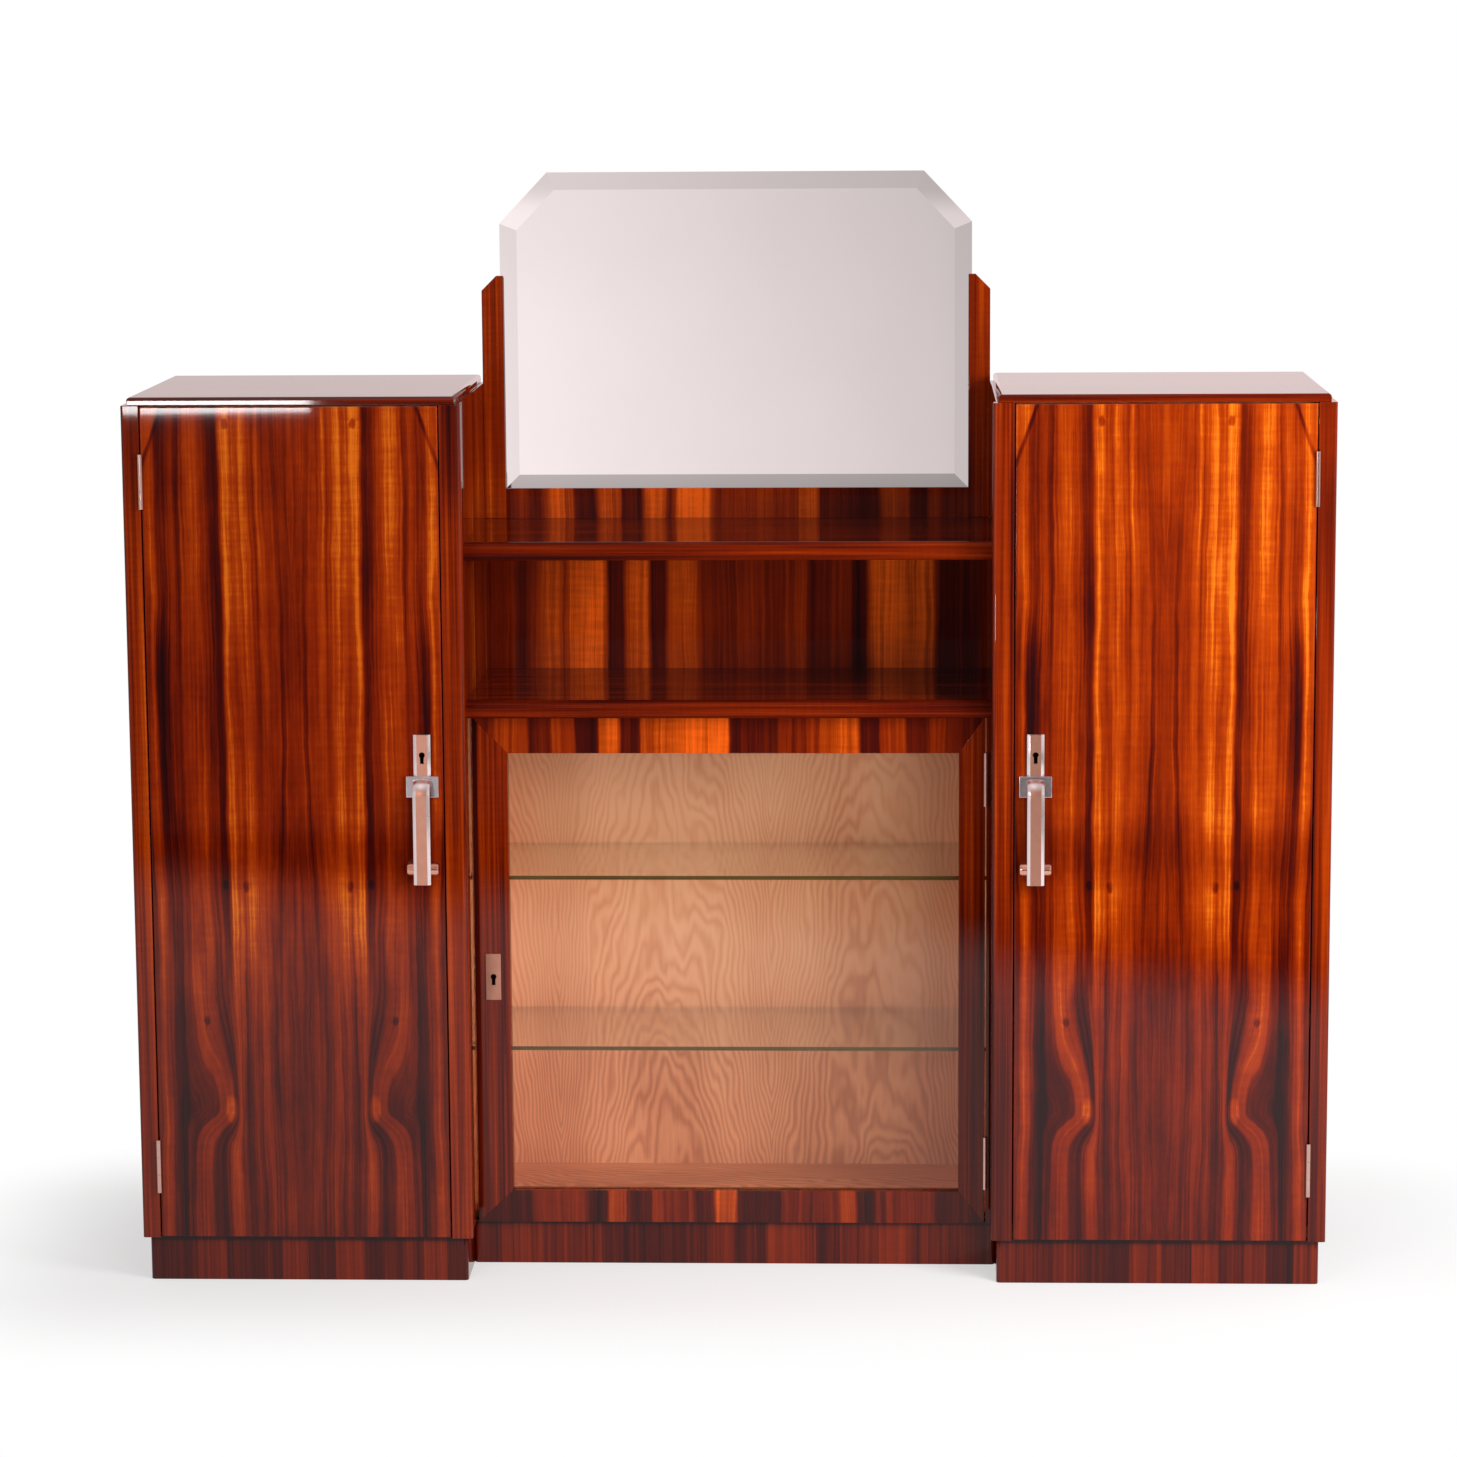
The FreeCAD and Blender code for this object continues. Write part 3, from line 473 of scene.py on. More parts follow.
def board_colour(across, along, lining, seed, dark=0.0):
    """Plain pale board: leaves with flames of soft rings, and short fibres."""
    shifted = across + seed * 0.037 + 0.12
    leaf = shifted.maths("PINGPONG", shifted, LEAF)
    warp = grain(across, along, 9, 3.0, 3.0, 0.5, seed) - 0.5
    flame = leaf * leaf * 500.0 + along * 18.0 + warp * 13.0
    rings = flame.maths("PINGPONG", flame, 0.5) * 2.0
    fibres = grain(across, along, 420, 14, 3.0, 0.6, seed + 3)
    patches = grain(across, along, 8, 2.2, 3.0, 0.6, seed + 7)
    figure = rings.rise(0.1, 1.0) * RINGS + fibres * FIBRES + (patches - 0.5) * PATCHES
    figure = figure + (BOARD_TONE + dark)
    stops = (
        (0.12, tuple(lining.pale)),
        (0.50, tuple(lining.honey)),
        (0.95, tuple(lining.vein)),
    )
    return figure.ramp(stops), fibres + rings * 0.3


def plain_board(name, across_axis, along_axis, lining, seed, dark=0.0, painted_shading=None):
    """A satin board whose grain runs along one axis, with painted shade and light where a function of
    x and z says.
    """
    material, place = new_finish(name, SATIN)
    axes = dict(zip("xyz", place.parts()))
    across = sum((axes[letter] for letter in across_axis[1:]), axes[across_axis[0]])
    if painted_shading:
        dark = dark + painted_shading(axes["x"], axes["z"])
    colour, height = board_colour(across, axes[along_axis], lining, seed, dark)
    feed(material, {"Base Color": colour, "Normal": relief(height, 0.12, 0.3 * MM)})
    return material


def colour(name, description, default):
    """A colour that a user may change."""
    return bpy.props.FloatVectorProperty(
        name=name, description=description, default=default, subtype="COLOR", size=3, min=0.0, max=1.0
    )


def length(name, description, default):
    """A size that a user may change."""
    return bpy.props.FloatProperty(
        name=name, description=description, default=default, unit="LENGTH", precision=4
    )


def power(name, description, default):
    """A lamp's strength that a user may change."""
    return bpy.props.FloatProperty(
        name=name, description=description, default=default, unit="POWER", min=0.0
    )


class VeneerSettings(bpy.types.PropertyGroup):
    """Colours of the polished rosewood."""

    ink: colour("Ink", "Darkest lines of the figure", (0.020, 0.003, 0.0035))
    dark: colour("Dark", "Dark stripes", (0.066, 0.0042, 0.002))
    russet: colour("Russet", "Red-brown ground", (0.140, 0.0096, 0.0013))
    rust: colour("Rust", "Red-orange stripes", (0.260, 0.021, 0.0012))
    orange: colour("Orange", "Orange stripes", (0.430, 0.050, 0.002))
    amber: colour("Amber", "Brightest stripes", (0.780, 0.172, 0.008))
    flame: colour("Flame", "Brightest strips of the niche and the rails", (0.90, 0.120, 0.006))
    # Tint of the painted shade multiplied into parts of the doors
    painted_shade_tint: colour("Blush", "Tint of the cooler parts of the doors", (0.87, 0.72, 0.80))
    softening: length("Softening", "Rounding of the wood's edges", 0.0010)


class LiningSettings(bpy.types.PropertyGroup):
    """Colours of the pale boards inside."""

    pale: colour("Pale", "Light wood between the rings", (0.93, 0.475, 0.25))
    honey: colour("Honey", "Ground colour of the boards", (0.82, 0.350, 0.168))
    vein: colour("Vein", "Darker rings", (0.54, 0.178, 0.075))


class GlassSettings(bpy.types.PropertyGroup):
    """Colours of the mirror, the pane and the glass shelves."""

    silver: colour("Silver", "Tint of the mirror's silvering", (0.94, 0.89, 0.89))
    pane: colour("Pane", "Tint of the reflections in the pane", (0.90, 0.95, 0.92))
    edge: colour("Edge", "Cut edge of the glass shelves", (0.050, 0.034, 0.008))


class MetalSettings(bpy.types.PropertyGroup):
    """Colours and sizes of the metal fittings."""

    nickel: colour("Nickel", "Grips, key plates and escutcheon", (0.77, 0.37, 0.265))
    chrome: colour("Chrome", "Bases", (0.97, 0.84, 0.87))
    hinge: colour("Hinge", "Hinges", (0.70, 0.43, 0.36))
    steel: colour("Steel", "Bolts, strikes and rests", (0.50, 0.48, 0.46))
    black: colour("Black", "Lock cases", (0.030, 0.022, 0.018))
    softening: length("Softening", "Rounding of the fittings' edges", 0.0005)


class StageSettings(bpy.types.PropertyGroup):
    """Studio round the cabinet."""

    floor: colour("Floor", "Colour of the floor", (0.55, 0.54, 0.54))
    key: power("Key", "Strength of the large lamp", 42.0)
    low: power("Low", "Strength of the low lamp", 30.0)
    fill: power("Fill", "Strength of the small lamp", 12.0)
    ambient: bpy.props.FloatProperty(
        name="Ambient", description="Even light from all round", default=0.36, min=0.0
    )


class SideboardSettings(bpy.types.PropertyGroup):
    """All settings of the sideboard."""

    veneer: bpy.props.PointerProperty(type=VeneerSettings)
    lining: bpy.props.PointerProperty(type=LiningSettings)
    glass: bpy.props.PointerProperty(type=GlassSettings)
    metal: bpy.props.PointerProperty(type=MetalSettings)
    stage: bpy.props.PointerProperty(type=StageSettings)


# How much darker than the display the boards of the cupboards and of the back are
INNER_DARK = 0.22
REAR_DARK = 0.15


class SIDEBOARD_OT_doors(bpy.types.Operator):
    """Lay the book-matched veneer on the two tall doors"""

    bl_idname = "sideboard.doors"
    bl_label = "Tall doors"

    def execute(self, context):
        looks = context.scene.sideboard
        back = DOOR_HIGH.y - 0.5 * MM

        def figure(x, y, z):
            return door_figure(x, z, looks.veneer)

        def lining(x, y, z):
            plain, _ = board_colour(x, z, looks.lining, 31.0, INNER_DARK)
            return y.rise(back - HAIR, back), plain

        veneer = polished("figured_veneer", figure, lining)
        for side in SIDES:
            softened(f"{side}_door_panel", f"{side}_veneered_door", veneer, looks.veneer.softening)
        return {"FINISHED"}


class SIDEBOARD_OT_carcass(bpy.types.Operator):
    """Polish the sides, top slabs, shelves, posts and plinths"""

    bl_idname = "sideboard.carcass"
    bl_label = "Carcass"

    def execute(self, context):
        looks = context.scene.sideboard
        front = DOOR_HIGH.y

        def upright(x, y, z):
            across = x + y * 0.9
            broad = grain(across, z, 16, 0.5, 2.0, 0.5, 51.0) - 0.5
            # Painted shade and light: darker towards the bottom and to the right, while above about
            # 1.2 m the right is lighter and the left darker, and lighter near x = -0.39 below about
            # 1.2 m
            tone = 0.52 + broad - z.rise(0.75, 0.2) * 0.16 - x * 0.11
            tone = tone + x * z.rise(1.15, 1.30) * 0.15
            tone = tone + abs(x + 0.39).rise(0.06, 0.03) * z.rise(1.25, 1.15) * 0.10
            return rosewood(tone, across, z, looks.veneer, 2.0)

        def inside_outer(x, y, z):
            plain, _ = board_colour(y, z, looks.lining, 33.0, INNER_DARK)
            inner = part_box("right_top_board")[1].x - HOUSED
            return abs(x).rise(inner + HAIR, inner) * y.rise(front - 1 * MM, front), plain

        def inside_inner(x, y, z):
            plain, _ = board_colour(y, z, looks.lining, 35.0)
            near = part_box("right_top_board")[0].x + HOUSED
            cupboard = abs(x).rise(near - HAIR, near) * y.rise(front - 1 * MM, front)
            face = DISPLAY_FACE - HOUSED
            behind_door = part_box("centre_door_lock_stile")[1].y
            display = abs(x).rise(face + HAIR, face) * y.rise(behind_door - 1 * MM, behind_door)
            display = display * z.rise(SHELF_UNDER + 1 * MM, SHELF_UNDER)
            return cupboard.larger(display), plain

        def lengthwise(x, y, z):
            across = y * 0.9 + z
            broad = grain(across, x, 18, 0.7, 2.0, 0.5, 61.0) - 0.5
            return rosewood(0.44 + broad, across, x, looks.veneer, 4.0)

        def shelf_nose(x, y, z):
            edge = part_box("lower_shelf")[0].y + 13 * MM
            plain, _ = rosewood(grain(z, x, 30, 1.5, 2.0, 0.5, 63.0), z, x, looks.veneer, 5.0)
            return y.rise(edge, edge - 2 * MM), plain

        def slab_nose(x, y, z):
            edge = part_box("left_top_slab")[0].y + 5 * MM
            plain, _ = lengthwise(x, y, z)
            return y.rise(edge, edge - 1 * MM) * (0.5 + 0.5 * x.rise(-0.2, 0.2)), plain

        def banded(x, y, z):
            across = x + y
            # Painted shadow along the plinths' tops under the doors' overhang, and painted shade on
            # the right plinth
            door_overhang_shadow = z.rise(PLINTH_TOP - 9 * MM, PLINTH_TOP - 4 * MM)
            tone = strips(across, 24, 3.0) * 0.30 + 0.24 - door_overhang_shadow * 0.30
            tone = tone - x.rise(0.35, 0.50) * 0.06
            return rosewood(tone, across, z, looks.veneer, 6.0, 0.7)

        outer = polished("outer_side_veneer", upright, inside_outer)
        inner = polished("inner_side_veneer", upright, inside_inner)
        post = polished("post_veneer", upright)
        slab = polished("slab_veneer", lengthwise, slab_nose, SLAB_POLISH)
        plinth = polished("plinth_veneer", banded)
        edge = looks.veneer.softening
        for side in SIDES:
            softened(f"{side}_outer_side", f"{side}_polished_end", outer, edge)
            softened(f"{side}_inner_side", f"{side}_polished_cheek", inner, edge)
            softened(f"{side}_mirror_post", f"{side}_polished_post", post, edge)
            softened(f"{side}_top_slab", f"{side}_polished_top", slab, edge)
        for place in (*SIDES, "centre"):
            softened(f"{place}_plinth", f"{place}_banded_plinth", plinth, edge)
        dress(post, "centre_hinge_strip")
        dress(polished("shelf_veneer", lengthwise, shelf_nose), "lower_shelf", "upper_shelf")
        return {"FINISHED"}


# Tones of the strips laid side by side, from the left end to the right end
NICHE_BANDS = (
    (0.00, 0.26),
    (0.05, 0.38),
    (0.085, 0.20),
    (0.115, 0.60),
    (0.15, 0.68),
    (0.16, 0.48),
    (0.18, 0.68),
    (0.24, 0.77),
    (0.25, 0.14),
    (0.275, 0.16),
    (0.285, 0.60),
    (0.325, 0.74),
    (0.335, 0.20),
    (0.36, 0.22),
    (0.37, 0.62),
    (0.42, 0.60),
    (0.435, 0.30),
    (0.50, 0.38),
    (0.56, 0.32),
    (0.63, 0.46),
    (0.645, 0.18),
    (0.665, 0.34),
    (0.72, 0.40),
    (0.727, 0.10),
    (0.75, 0.12),
    # Strips from 0.76 to 0.88 carry painted light where the right cupboard shades the niche
    (0.76, 0.66),
    (0.80, 0.77),
    (0.83, 0.64),
    (0.88, 0.72),
    (0.893, 0.16),
    (0.93, 0.20),
    (1.00, 0.34),
)
APRON_BANDS = (
    (0.00, 0.30),
    (0.03, 0.50),
    (0.06, 0.20),
    (0.10, 0.72),
    (0.14, 0.66),
    (0.15, 0.16),
    (0.19, 0.18),
    (0.20, 0.60),
    (0.245, 0.64),
    (0.25, 0.20),
    (0.29, 0.26),
    (0.30, 0.66),
    (0.34, 0.70),
    (0.355, 0.22),
    (0.375, 0.74),
    (0.44, 0.80),
    (0.455, 0.40),
    (0.55, 0.48),
    (0.62, 0.40),
    (0.635, 0.66),
    (0.67, 0.62),
    (0.68, 0.30),
    (0.75, 0.26),
    (0.76, 0.16),
    (0.80, 0.20),
    (0.81, 0.58),
    (0.87, 0.56),
    (0.88, 0.16),
    (0.91, 0.20),
    (0.92, 0.52),
    (0.96, 0.24),
    (1.00, 0.36),
)
TOP_RAIL_BANDS = (
    (0.00, 0.36),
    (0.07, 0.66),
    (0.108, 0.64),
    (0.112, 0.30),
    (0.155, 0.28),
    (0.160, 0.62),
    (0.200, 0.64),
    (0.205, 0.18),
    (0.245, 0.20),
    (0.250, 0.84),
    (0.288, 0.82),
    (0.293, 0.24),
    (0.328, 0.26),
    (0.333, 0.70),
    (0.365, 0.84),
    (0.500, 0.90),
    (0.505, 0.26),
    (0.597, 0.30),
    (0.602, 0.60),
    (0.633, 0.44),
    (0.672, 0.62),
    (0.712, 0.80),
    (0.752, 0.82),
    (0.757, 0.20),
    (0.788, 0.22),
    (0.793, 0.62),
    (0.845, 0.58),
    (0.850, 0.30),
    (0.890, 0.34),
    (0.895, 0.52),
    (0.94, 0.48),
    (1.00, 0.28),
)
BOTTOM_RAIL_BANDS = (
    (0.00, 0.30),
    (0.07, 0.18),
    (0.108, 0.20),
    (0.113, 0.46),
    (0.21, 0.50),
    (0.22, 0.16),
    (0.255, 0.18),
    (0.260, 0.66),
    (0.290, 0.62),
    (0.298, 0.18),
    (0.338, 0.20),
    (0.345, 0.58),
    (0.38, 0.40),
    (0.42, 0.50),
    (0.43, 0.26),
    (0.465, 0.28),
    (0.471, 0.78),
    (0.510, 0.76),
    (0.515, 0.18),
    (0.595, 0.22),
    (0.603, 0.42),
    (0.71, 0.36),
    (0.720, 0.62),
    (0.748, 0.60),
    (0.754, 0.14),
    (0.782, 0.16),
    (0.79, 0.44),
    (0.90, 0.42),
    (0.91, 0.20),
    (1.00, 0.32),
)
NICHE_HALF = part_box("niche_back")[1].x
APRON_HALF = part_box("mirror_apron")[1].x
FRAME_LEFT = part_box("centre_door_lock_stile")[0].x
FRAME_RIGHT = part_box("centre_door_hinge_stile")[1].x


def laid_bands(across, along, start, end, bands, veneer, seed, lift=0.0):
    """Upright strips between two ends, with edges that wander a little."""
    wander = grain(across, along, 6, 3.0, 2.0, 0.5, seed + 60) - 0.5
    wave = grain(across, along, 40, 9.0, 3.0, 0.6, seed + 62) - 0.5
    drift = across + wander * 0.016 + wave * 0.008
    mottle = grain(across, along, 12, 4.0, 3.0, 0.6, seed + 61) - 0.5
    # lift scales every tone; on the niche's back it is painted light where the shelf shades it
    tone = ((drift - start) / (end - start)).ramp(bands) * (1.0 + lift) + mottle * 0.34 + 0.04
    return rosewood(tone, drift, along, veneer, seed, 0.6, veneer.flame)


class SIDEBOARD_OT_niche(bpy.types.Operator):
    """Lay wide stripes on the niche's back and the rail under the mirror"""

    bl_idname = "sideboard.niche"
    bl_label = "Niche and mirror rail"

    def execute(self, context):
        veneer = context.scene.sideboard.veneer

        def back(x, y, z):
            return laid_bands(x, z, -NICHE_HALF, NICHE_HALF, NICHE_BANDS, veneer, 8.0, 0.22)

        def rail(x, y, z):
            return laid_bands(x, z, -APRON_HALF, APRON_HALF, APRON_BANDS, veneer, 10.0, 0.22)

        def rear(x, y, z):
            plain, _ = board_colour(x, z, context.scene.sideboard.lining, 37.0, REAR_DARK)
            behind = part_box("niche_back")[1].y - 0.5 * MM
            return y.rise(behind - HAIR, behind), plain

        dress(polished("niche_veneer", back, rear), "niche_back")
        dress(polished("mirror_rail_veneer", rail), "mirror_apron")
        return {"FINISHED"}


class SIDEBOARD_OT_glazed_door(bpy.types.Operator):
    """Cross-band the rails and polish the stiles of the glazed door"""

    bl_idname = "sideboard.glazed_door"
    bl_label = "Glazed door"

    def execute(self, context):
        veneer = context.scene.sideboard.veneer

        def top_rail(x, y, z):
            return laid_bands(x, z, FRAME_LEFT, FRAME_RIGHT, TOP_RAIL_BANDS, veneer, 12.0, -0.05)

        def bottom_rail(x, y, z):
            return laid_bands(x, z, FRAME_LEFT, FRAME_RIGHT, BOTTOM_RAIL_BANDS, veneer, 13.0, -0.02)

        def stile(x, y, z):
            broad = grain(x, z, 26, 0.7, 2.0, 0.5, 81.0) - 0.5
            # Painted shade along the lock stile's left edge, where its rounded face turns from the
            # light, and painted light towards the top
            edge = x.rise(FRAME_LEFT + 12 * MM, FRAME_LEFT + 2 * MM)
            tone = 0.43 + broad + z.rise(0.4, 0.7) * 0.15 - edge * 0.30
            return rosewood(tone, x, z, veneer, 14.0)

        edge = veneer.softening / 2
        stiles = polished("stile_veneer", stile)
        top = polished("top_rail_veneer", top_rail)
        softened("centre_door_top_rail", "banded_top_rail", top, edge)
        bottom = polished("bottom_rail_veneer", bottom_rail)
        softened("centre_door_bottom_rail", "banded_bottom_rail", bottom, edge)
        for place in ("lock", "hinge"):
            softened(f"centre_door_{place}_stile", f"polished_{place}_stile", stiles, edge)
        dress(stiles, "centre_door_glazing_beads")
        return {"FINISHED"}


class SIDEBOARD_OT_linings(bpy.types.Operator):
    """Give the backs, floors and loose shelves their plain boards"""

    bl_idname = "sideboard.linings"
    bl_label = "Linings"

    def execute(self, context):
        lining = context.scene.sideboard.lining

        def painted_shading(x, z):
            # Painted shade darker at the foot, and painted light in a pool at the middle of the top
            # and towards the right
            aside = (x + 0.12) / 0.25
            up = (z - 0.74) / 0.20
            pale = (aside * aside + up * up).rise(1.6, 0.0) * 0.12 + x.rise(0.15, 0.32) * 0.10
            return z.rise(0.45, 0.22) * 0.30 - pale

        dress(plain_board("display_ply", "x", "z", lining, 0.0, -0.09, painted_shading), "display_back")
        dress(
            plain_board("back_ply", "x", "z", lining, 17.0, REAR_DARK),
            "left_back_panel",
            "right_back_panel",
            "mirror_backing",
        )
        dress(
            plain_board("inner_board", "yz", "x", lining, 21.0, INNER_DARK),
            "left_top_board",
            "right_top_board",
            "left_bottom_board",
            "right_bottom_board",
            "left_cupboard_shelves",
            "right_cupboard_shelves",
        )
        dress(plain_board("display_floor_board", "yz", "x", lining, 21.0, 0.25), "centre_bottom_board")
        dress(plain_board("batten_board", "xz", "y", lining, 23.0), "shelf_battens")
        return {"FINISHED"}


# How much of the bevel's slope the silvering shows, and how far the mirror leans back
BEVEL_SHARE = (-0.08, 1.0, 0.25)
MIRROR_LEAN = (0.0, 0.0, 0.22)
# Painted shade in the mirror's reflection: how much darker its bevel is, and how much more along its
# bottom and right
BEVEL_SHADE = 0.07
BOTTOM_SHADE = 0.20
RIGHT_SHADE = 0.10
# Share of the light that clear glass throws back straight on and, added to it, at a slant
STRAIGHT_SHARE = 0.018
SLANT_SHARE = 0.85


class SIDEBOARD_OT_glass(bpy.types.Operator):
    """Silver the mirror and clear the pane and the glass shelves"""

    bl_idname = "sideboard.glass"
    bl_label = "Mirror and glass"

    def execute(self, context):
        glass = context.scene.sideboard.glass
        mirror, place = new_finish("mirror_silver", {"Metallic": 1.0})
        x, y, z = place.parts()
        haze = grain(x, z, 6, 6, 3.0, 0.5, 91.0)
        silver = haze.ramp(((0.3, tuple(glass.silver)), (0.8, scaled(glass.silver, 0.97))))
        feed(mirror, {
            "Base Color": self.bevel(place).mix(silver, solid(0.0)),
            "Roughness": 0.01 + haze * 0.02,
            "Normal": self.through_bevel(place),
        })
        dress(mirror, "mirror_glass")

        pane, place = new_finish("pane_glass", {"Metallic": 1.0, "Base Color": solid(glass.pane)})
        x, y, z = place.parts()
        smear = grain(x, z, 7, 5, 3.0, 0.6, 93.0)
        feed(pane, {"Alpha": self.reflectance(place), "Roughness": 0.01 + smear * 0.03})
        dress(pane, "centre_door_glass")

        shelf, place = new_finish("shelf_glass", {"Roughness": 0.03, "Specular IOR Level": 0.1})
        x, y, z = place.parts()
        edge = y.rise(GLASS_FRONT + 0.6 * MM, GLASS_FRONT + 0.2 * MM)
        streaks = grain(z, x, 300, 4, 2.0, 0.5, 95.0)
        cut = streaks.ramp(((0.3, tuple(glass.edge)), (0.8, scaled(glass.edge, 2.2))))
        feed(shelf, {
            "Base Color": edge.mix(solid(glass.pane), cut),
            "Metallic": 1.0 - edge,
            "Alpha": self.reflectance(place).larger(edge * 0.92),
        })
        dress(shelf, "glass_shelves")
        return {"FINISHED"}

    def through_bevel(self, place):
        """Normal of the silvering, which leans back a little and is bevelled only slightly."""
        normal = place.node("NewGeometry", {}, {}, "Normal")
        flatter = normal.node("VectorMath", {"operation": "MULTIPLY"}, {0: normal, 1: BEVEL_SHARE})
        leaning = normal.node("VectorMath", {"operation": "ADD"}, {0: flatter, 1: MIRROR_LEAN})
        return leaning.node("VectorMath", {"operation": "NORMALIZE"}, {0: leaning})

    def bevel(self, place):
        """Painted darkening of the reflection in the sloping border of the mirror, most along its
        bottom.
        """
        normal = place.node("NewGeometry", {}, {}, "Normal")
        across, ahead, up = normal.parts()
        sloping = ahead.rise(-0.999, -0.996)
        bottom = up.rise(-0.04, -0.10)
        right = across.rise(0.04, 0.10)
        return sloping * (BEVEL_SHADE + BOTTOM_SHADE * bottom + RIGHT_SHADE * right)

    def reflectance(self, place):
        """Share of the light that clear glass throws back, more at a slant."""
        slant = place.node("LayerWeight", {}, {"Blend": 0.5}, "Facing")
        return STRAIGHT_SHARE + slant ** 5.0 * SLANT_SHARE


# Width of the bevels along the key plates and grips, and colour of the painted highlight that makes
# them bright
STRIP_BEVEL = 5 * MM
PAINTED_HIGHLIGHT = (0.86, 0.73, 0.73)
PLATE_LOW, PLATE_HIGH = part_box("right_key_plate")


def strip_bevel(x):
    """1 on the bevelled long edges of the key plates and grips."""
    flat = (PLATE_HIGH.x - PLATE_LOW.x) / 2 - STRIP_BEVEL
    aside = abs(abs(x) - (PLATE_LOW.x + PLATE_HIGH.x) / 2)
    return aside.rise(flat - HAIR, flat + HAIR)


def brushed(name, tint, axis, roughness, brush, bevel=None, worn=0.86):
    """Metal brushed along one axis, with a painted highlight on top and on bevels where a function of
    x says so.
    """
    material, place = new_finish(name, {"Metallic": 1.0, "Base Color": solid(tint)})
    axes = dict(zip("xyz", place.parts()))
    x = axes["x"]
    along = axes.pop(axis)
    across = sum(axes.values(), 0.0)
    lines = grain(across, along, 9000, 120, 3.0, 0.6, 101.0)
    wear = grain(across, along, 60, 45, 3.0, 0.55, 103.0)
    tinted = wear.ramp(((0.25, tuple(tint)), (0.85, scaled(tint, worn))))
    rough = roughness + (lines - 0.5) * brush + (wear - 0.5) * 0.12
    if bevel:
        upward = place.node("NewGeometry", {}, {}, "Normal").parts()[2]
        # Painted highlight on upward faces and on the bevels
        bright = bevel(x).larger(upward.rise(0.25, 0.60))
        tinted = bright.mix(tinted, solid(PAINTED_HIGHLIGHT))
        rough = rough * (1.0 - 0.4 * bright)
    feed(material, {
        "Base Color": tinted,
        "Roughness": rough,
        "Normal": relief(lines, 0.10, 0.05 * MM),
    })
    return material


def merged_copy(node):
    """A copy of a node's mesh with its corners joined and its flat faces whole."""
    work = bmesh.new()
    work.from_mesh(frame["nodes"][node].data)
    bmesh.ops.remove_doubles(work, verts=work.verts, dist=MERGE_DISTANCE)
    bmesh.ops.dissolve_limit(work, angle_limit=FLAT_ANGLE, verts=work.verts, edges=work.edges)
    return work


def flat_directions(work):
    """Normals of the faces that are no part of a curve or lie square, each once."""
    found = []
    for face in work.faces:
        square = max(abs(part) for part in face.normal) > FLAT_COSINE
        curved = any(FLAT_ANGLE < edge.calc_face_angle(0.0) < EDGE_ANGLE for edge in face.edges)
        if curved and not square:
            continue
        if all(face.normal.dot(known) < FLAT_COSINE for known in found):
            found.append(face.normal.copy())
    return found


def soften(work, offset):
    """Round every sharp outward edge, and shade only the curves smoothly."""
    flats = flat_directions(work)
    sharp = [edge for edge in work.edges if edge.calc_face_angle_signed(0.0) > EDGE_ANGLE]
    bmesh.ops.bevel(
        work,
        geom=sharp,
        offset=offset,
        offset_type="OFFSET",
        affect="EDGES",
        segments=2,
        profile=0.5,
        material=-1,
        clamp_overlap=True,
    )
    bmesh.ops.dissolve_degenerate(work, dist=MERGE_DISTANCE, edges=work.edges)
    work.normal_update()
    for face in work.faces:
        face.smooth = all(face.normal.dot(known) < FLAT_COSINE for known in flats)


def put(work, name, material, *nodes):
    """Make a piece of a bmesh that stands for nodes and moves with their body."""
    bmesh.ops.recalc_face_normals(work, faces=work.faces)
    for edge in work.edges:
        edge.smooth = edge.calc_face_angle(0.0) < CREASE_ANGLE
    mesh = bpy.data.meshes.new(name)
    work.to_mesh(mesh)
    work.free()
    mesh.materials.append(material)
    piece = bpy.data.objects.new(name, mesh)
    bpy.context.scene.collection.objects.link(piece)
    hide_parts(*nodes)
    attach(piece, frame["nodes"][nodes[0]]["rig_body"])
    return piece


def softened(node, name, material, offset):
    """Stand a copy with rounded edges in for a node."""
    work = merged_copy(node)
    soften(work, offset)
    put(work, name, material, node)


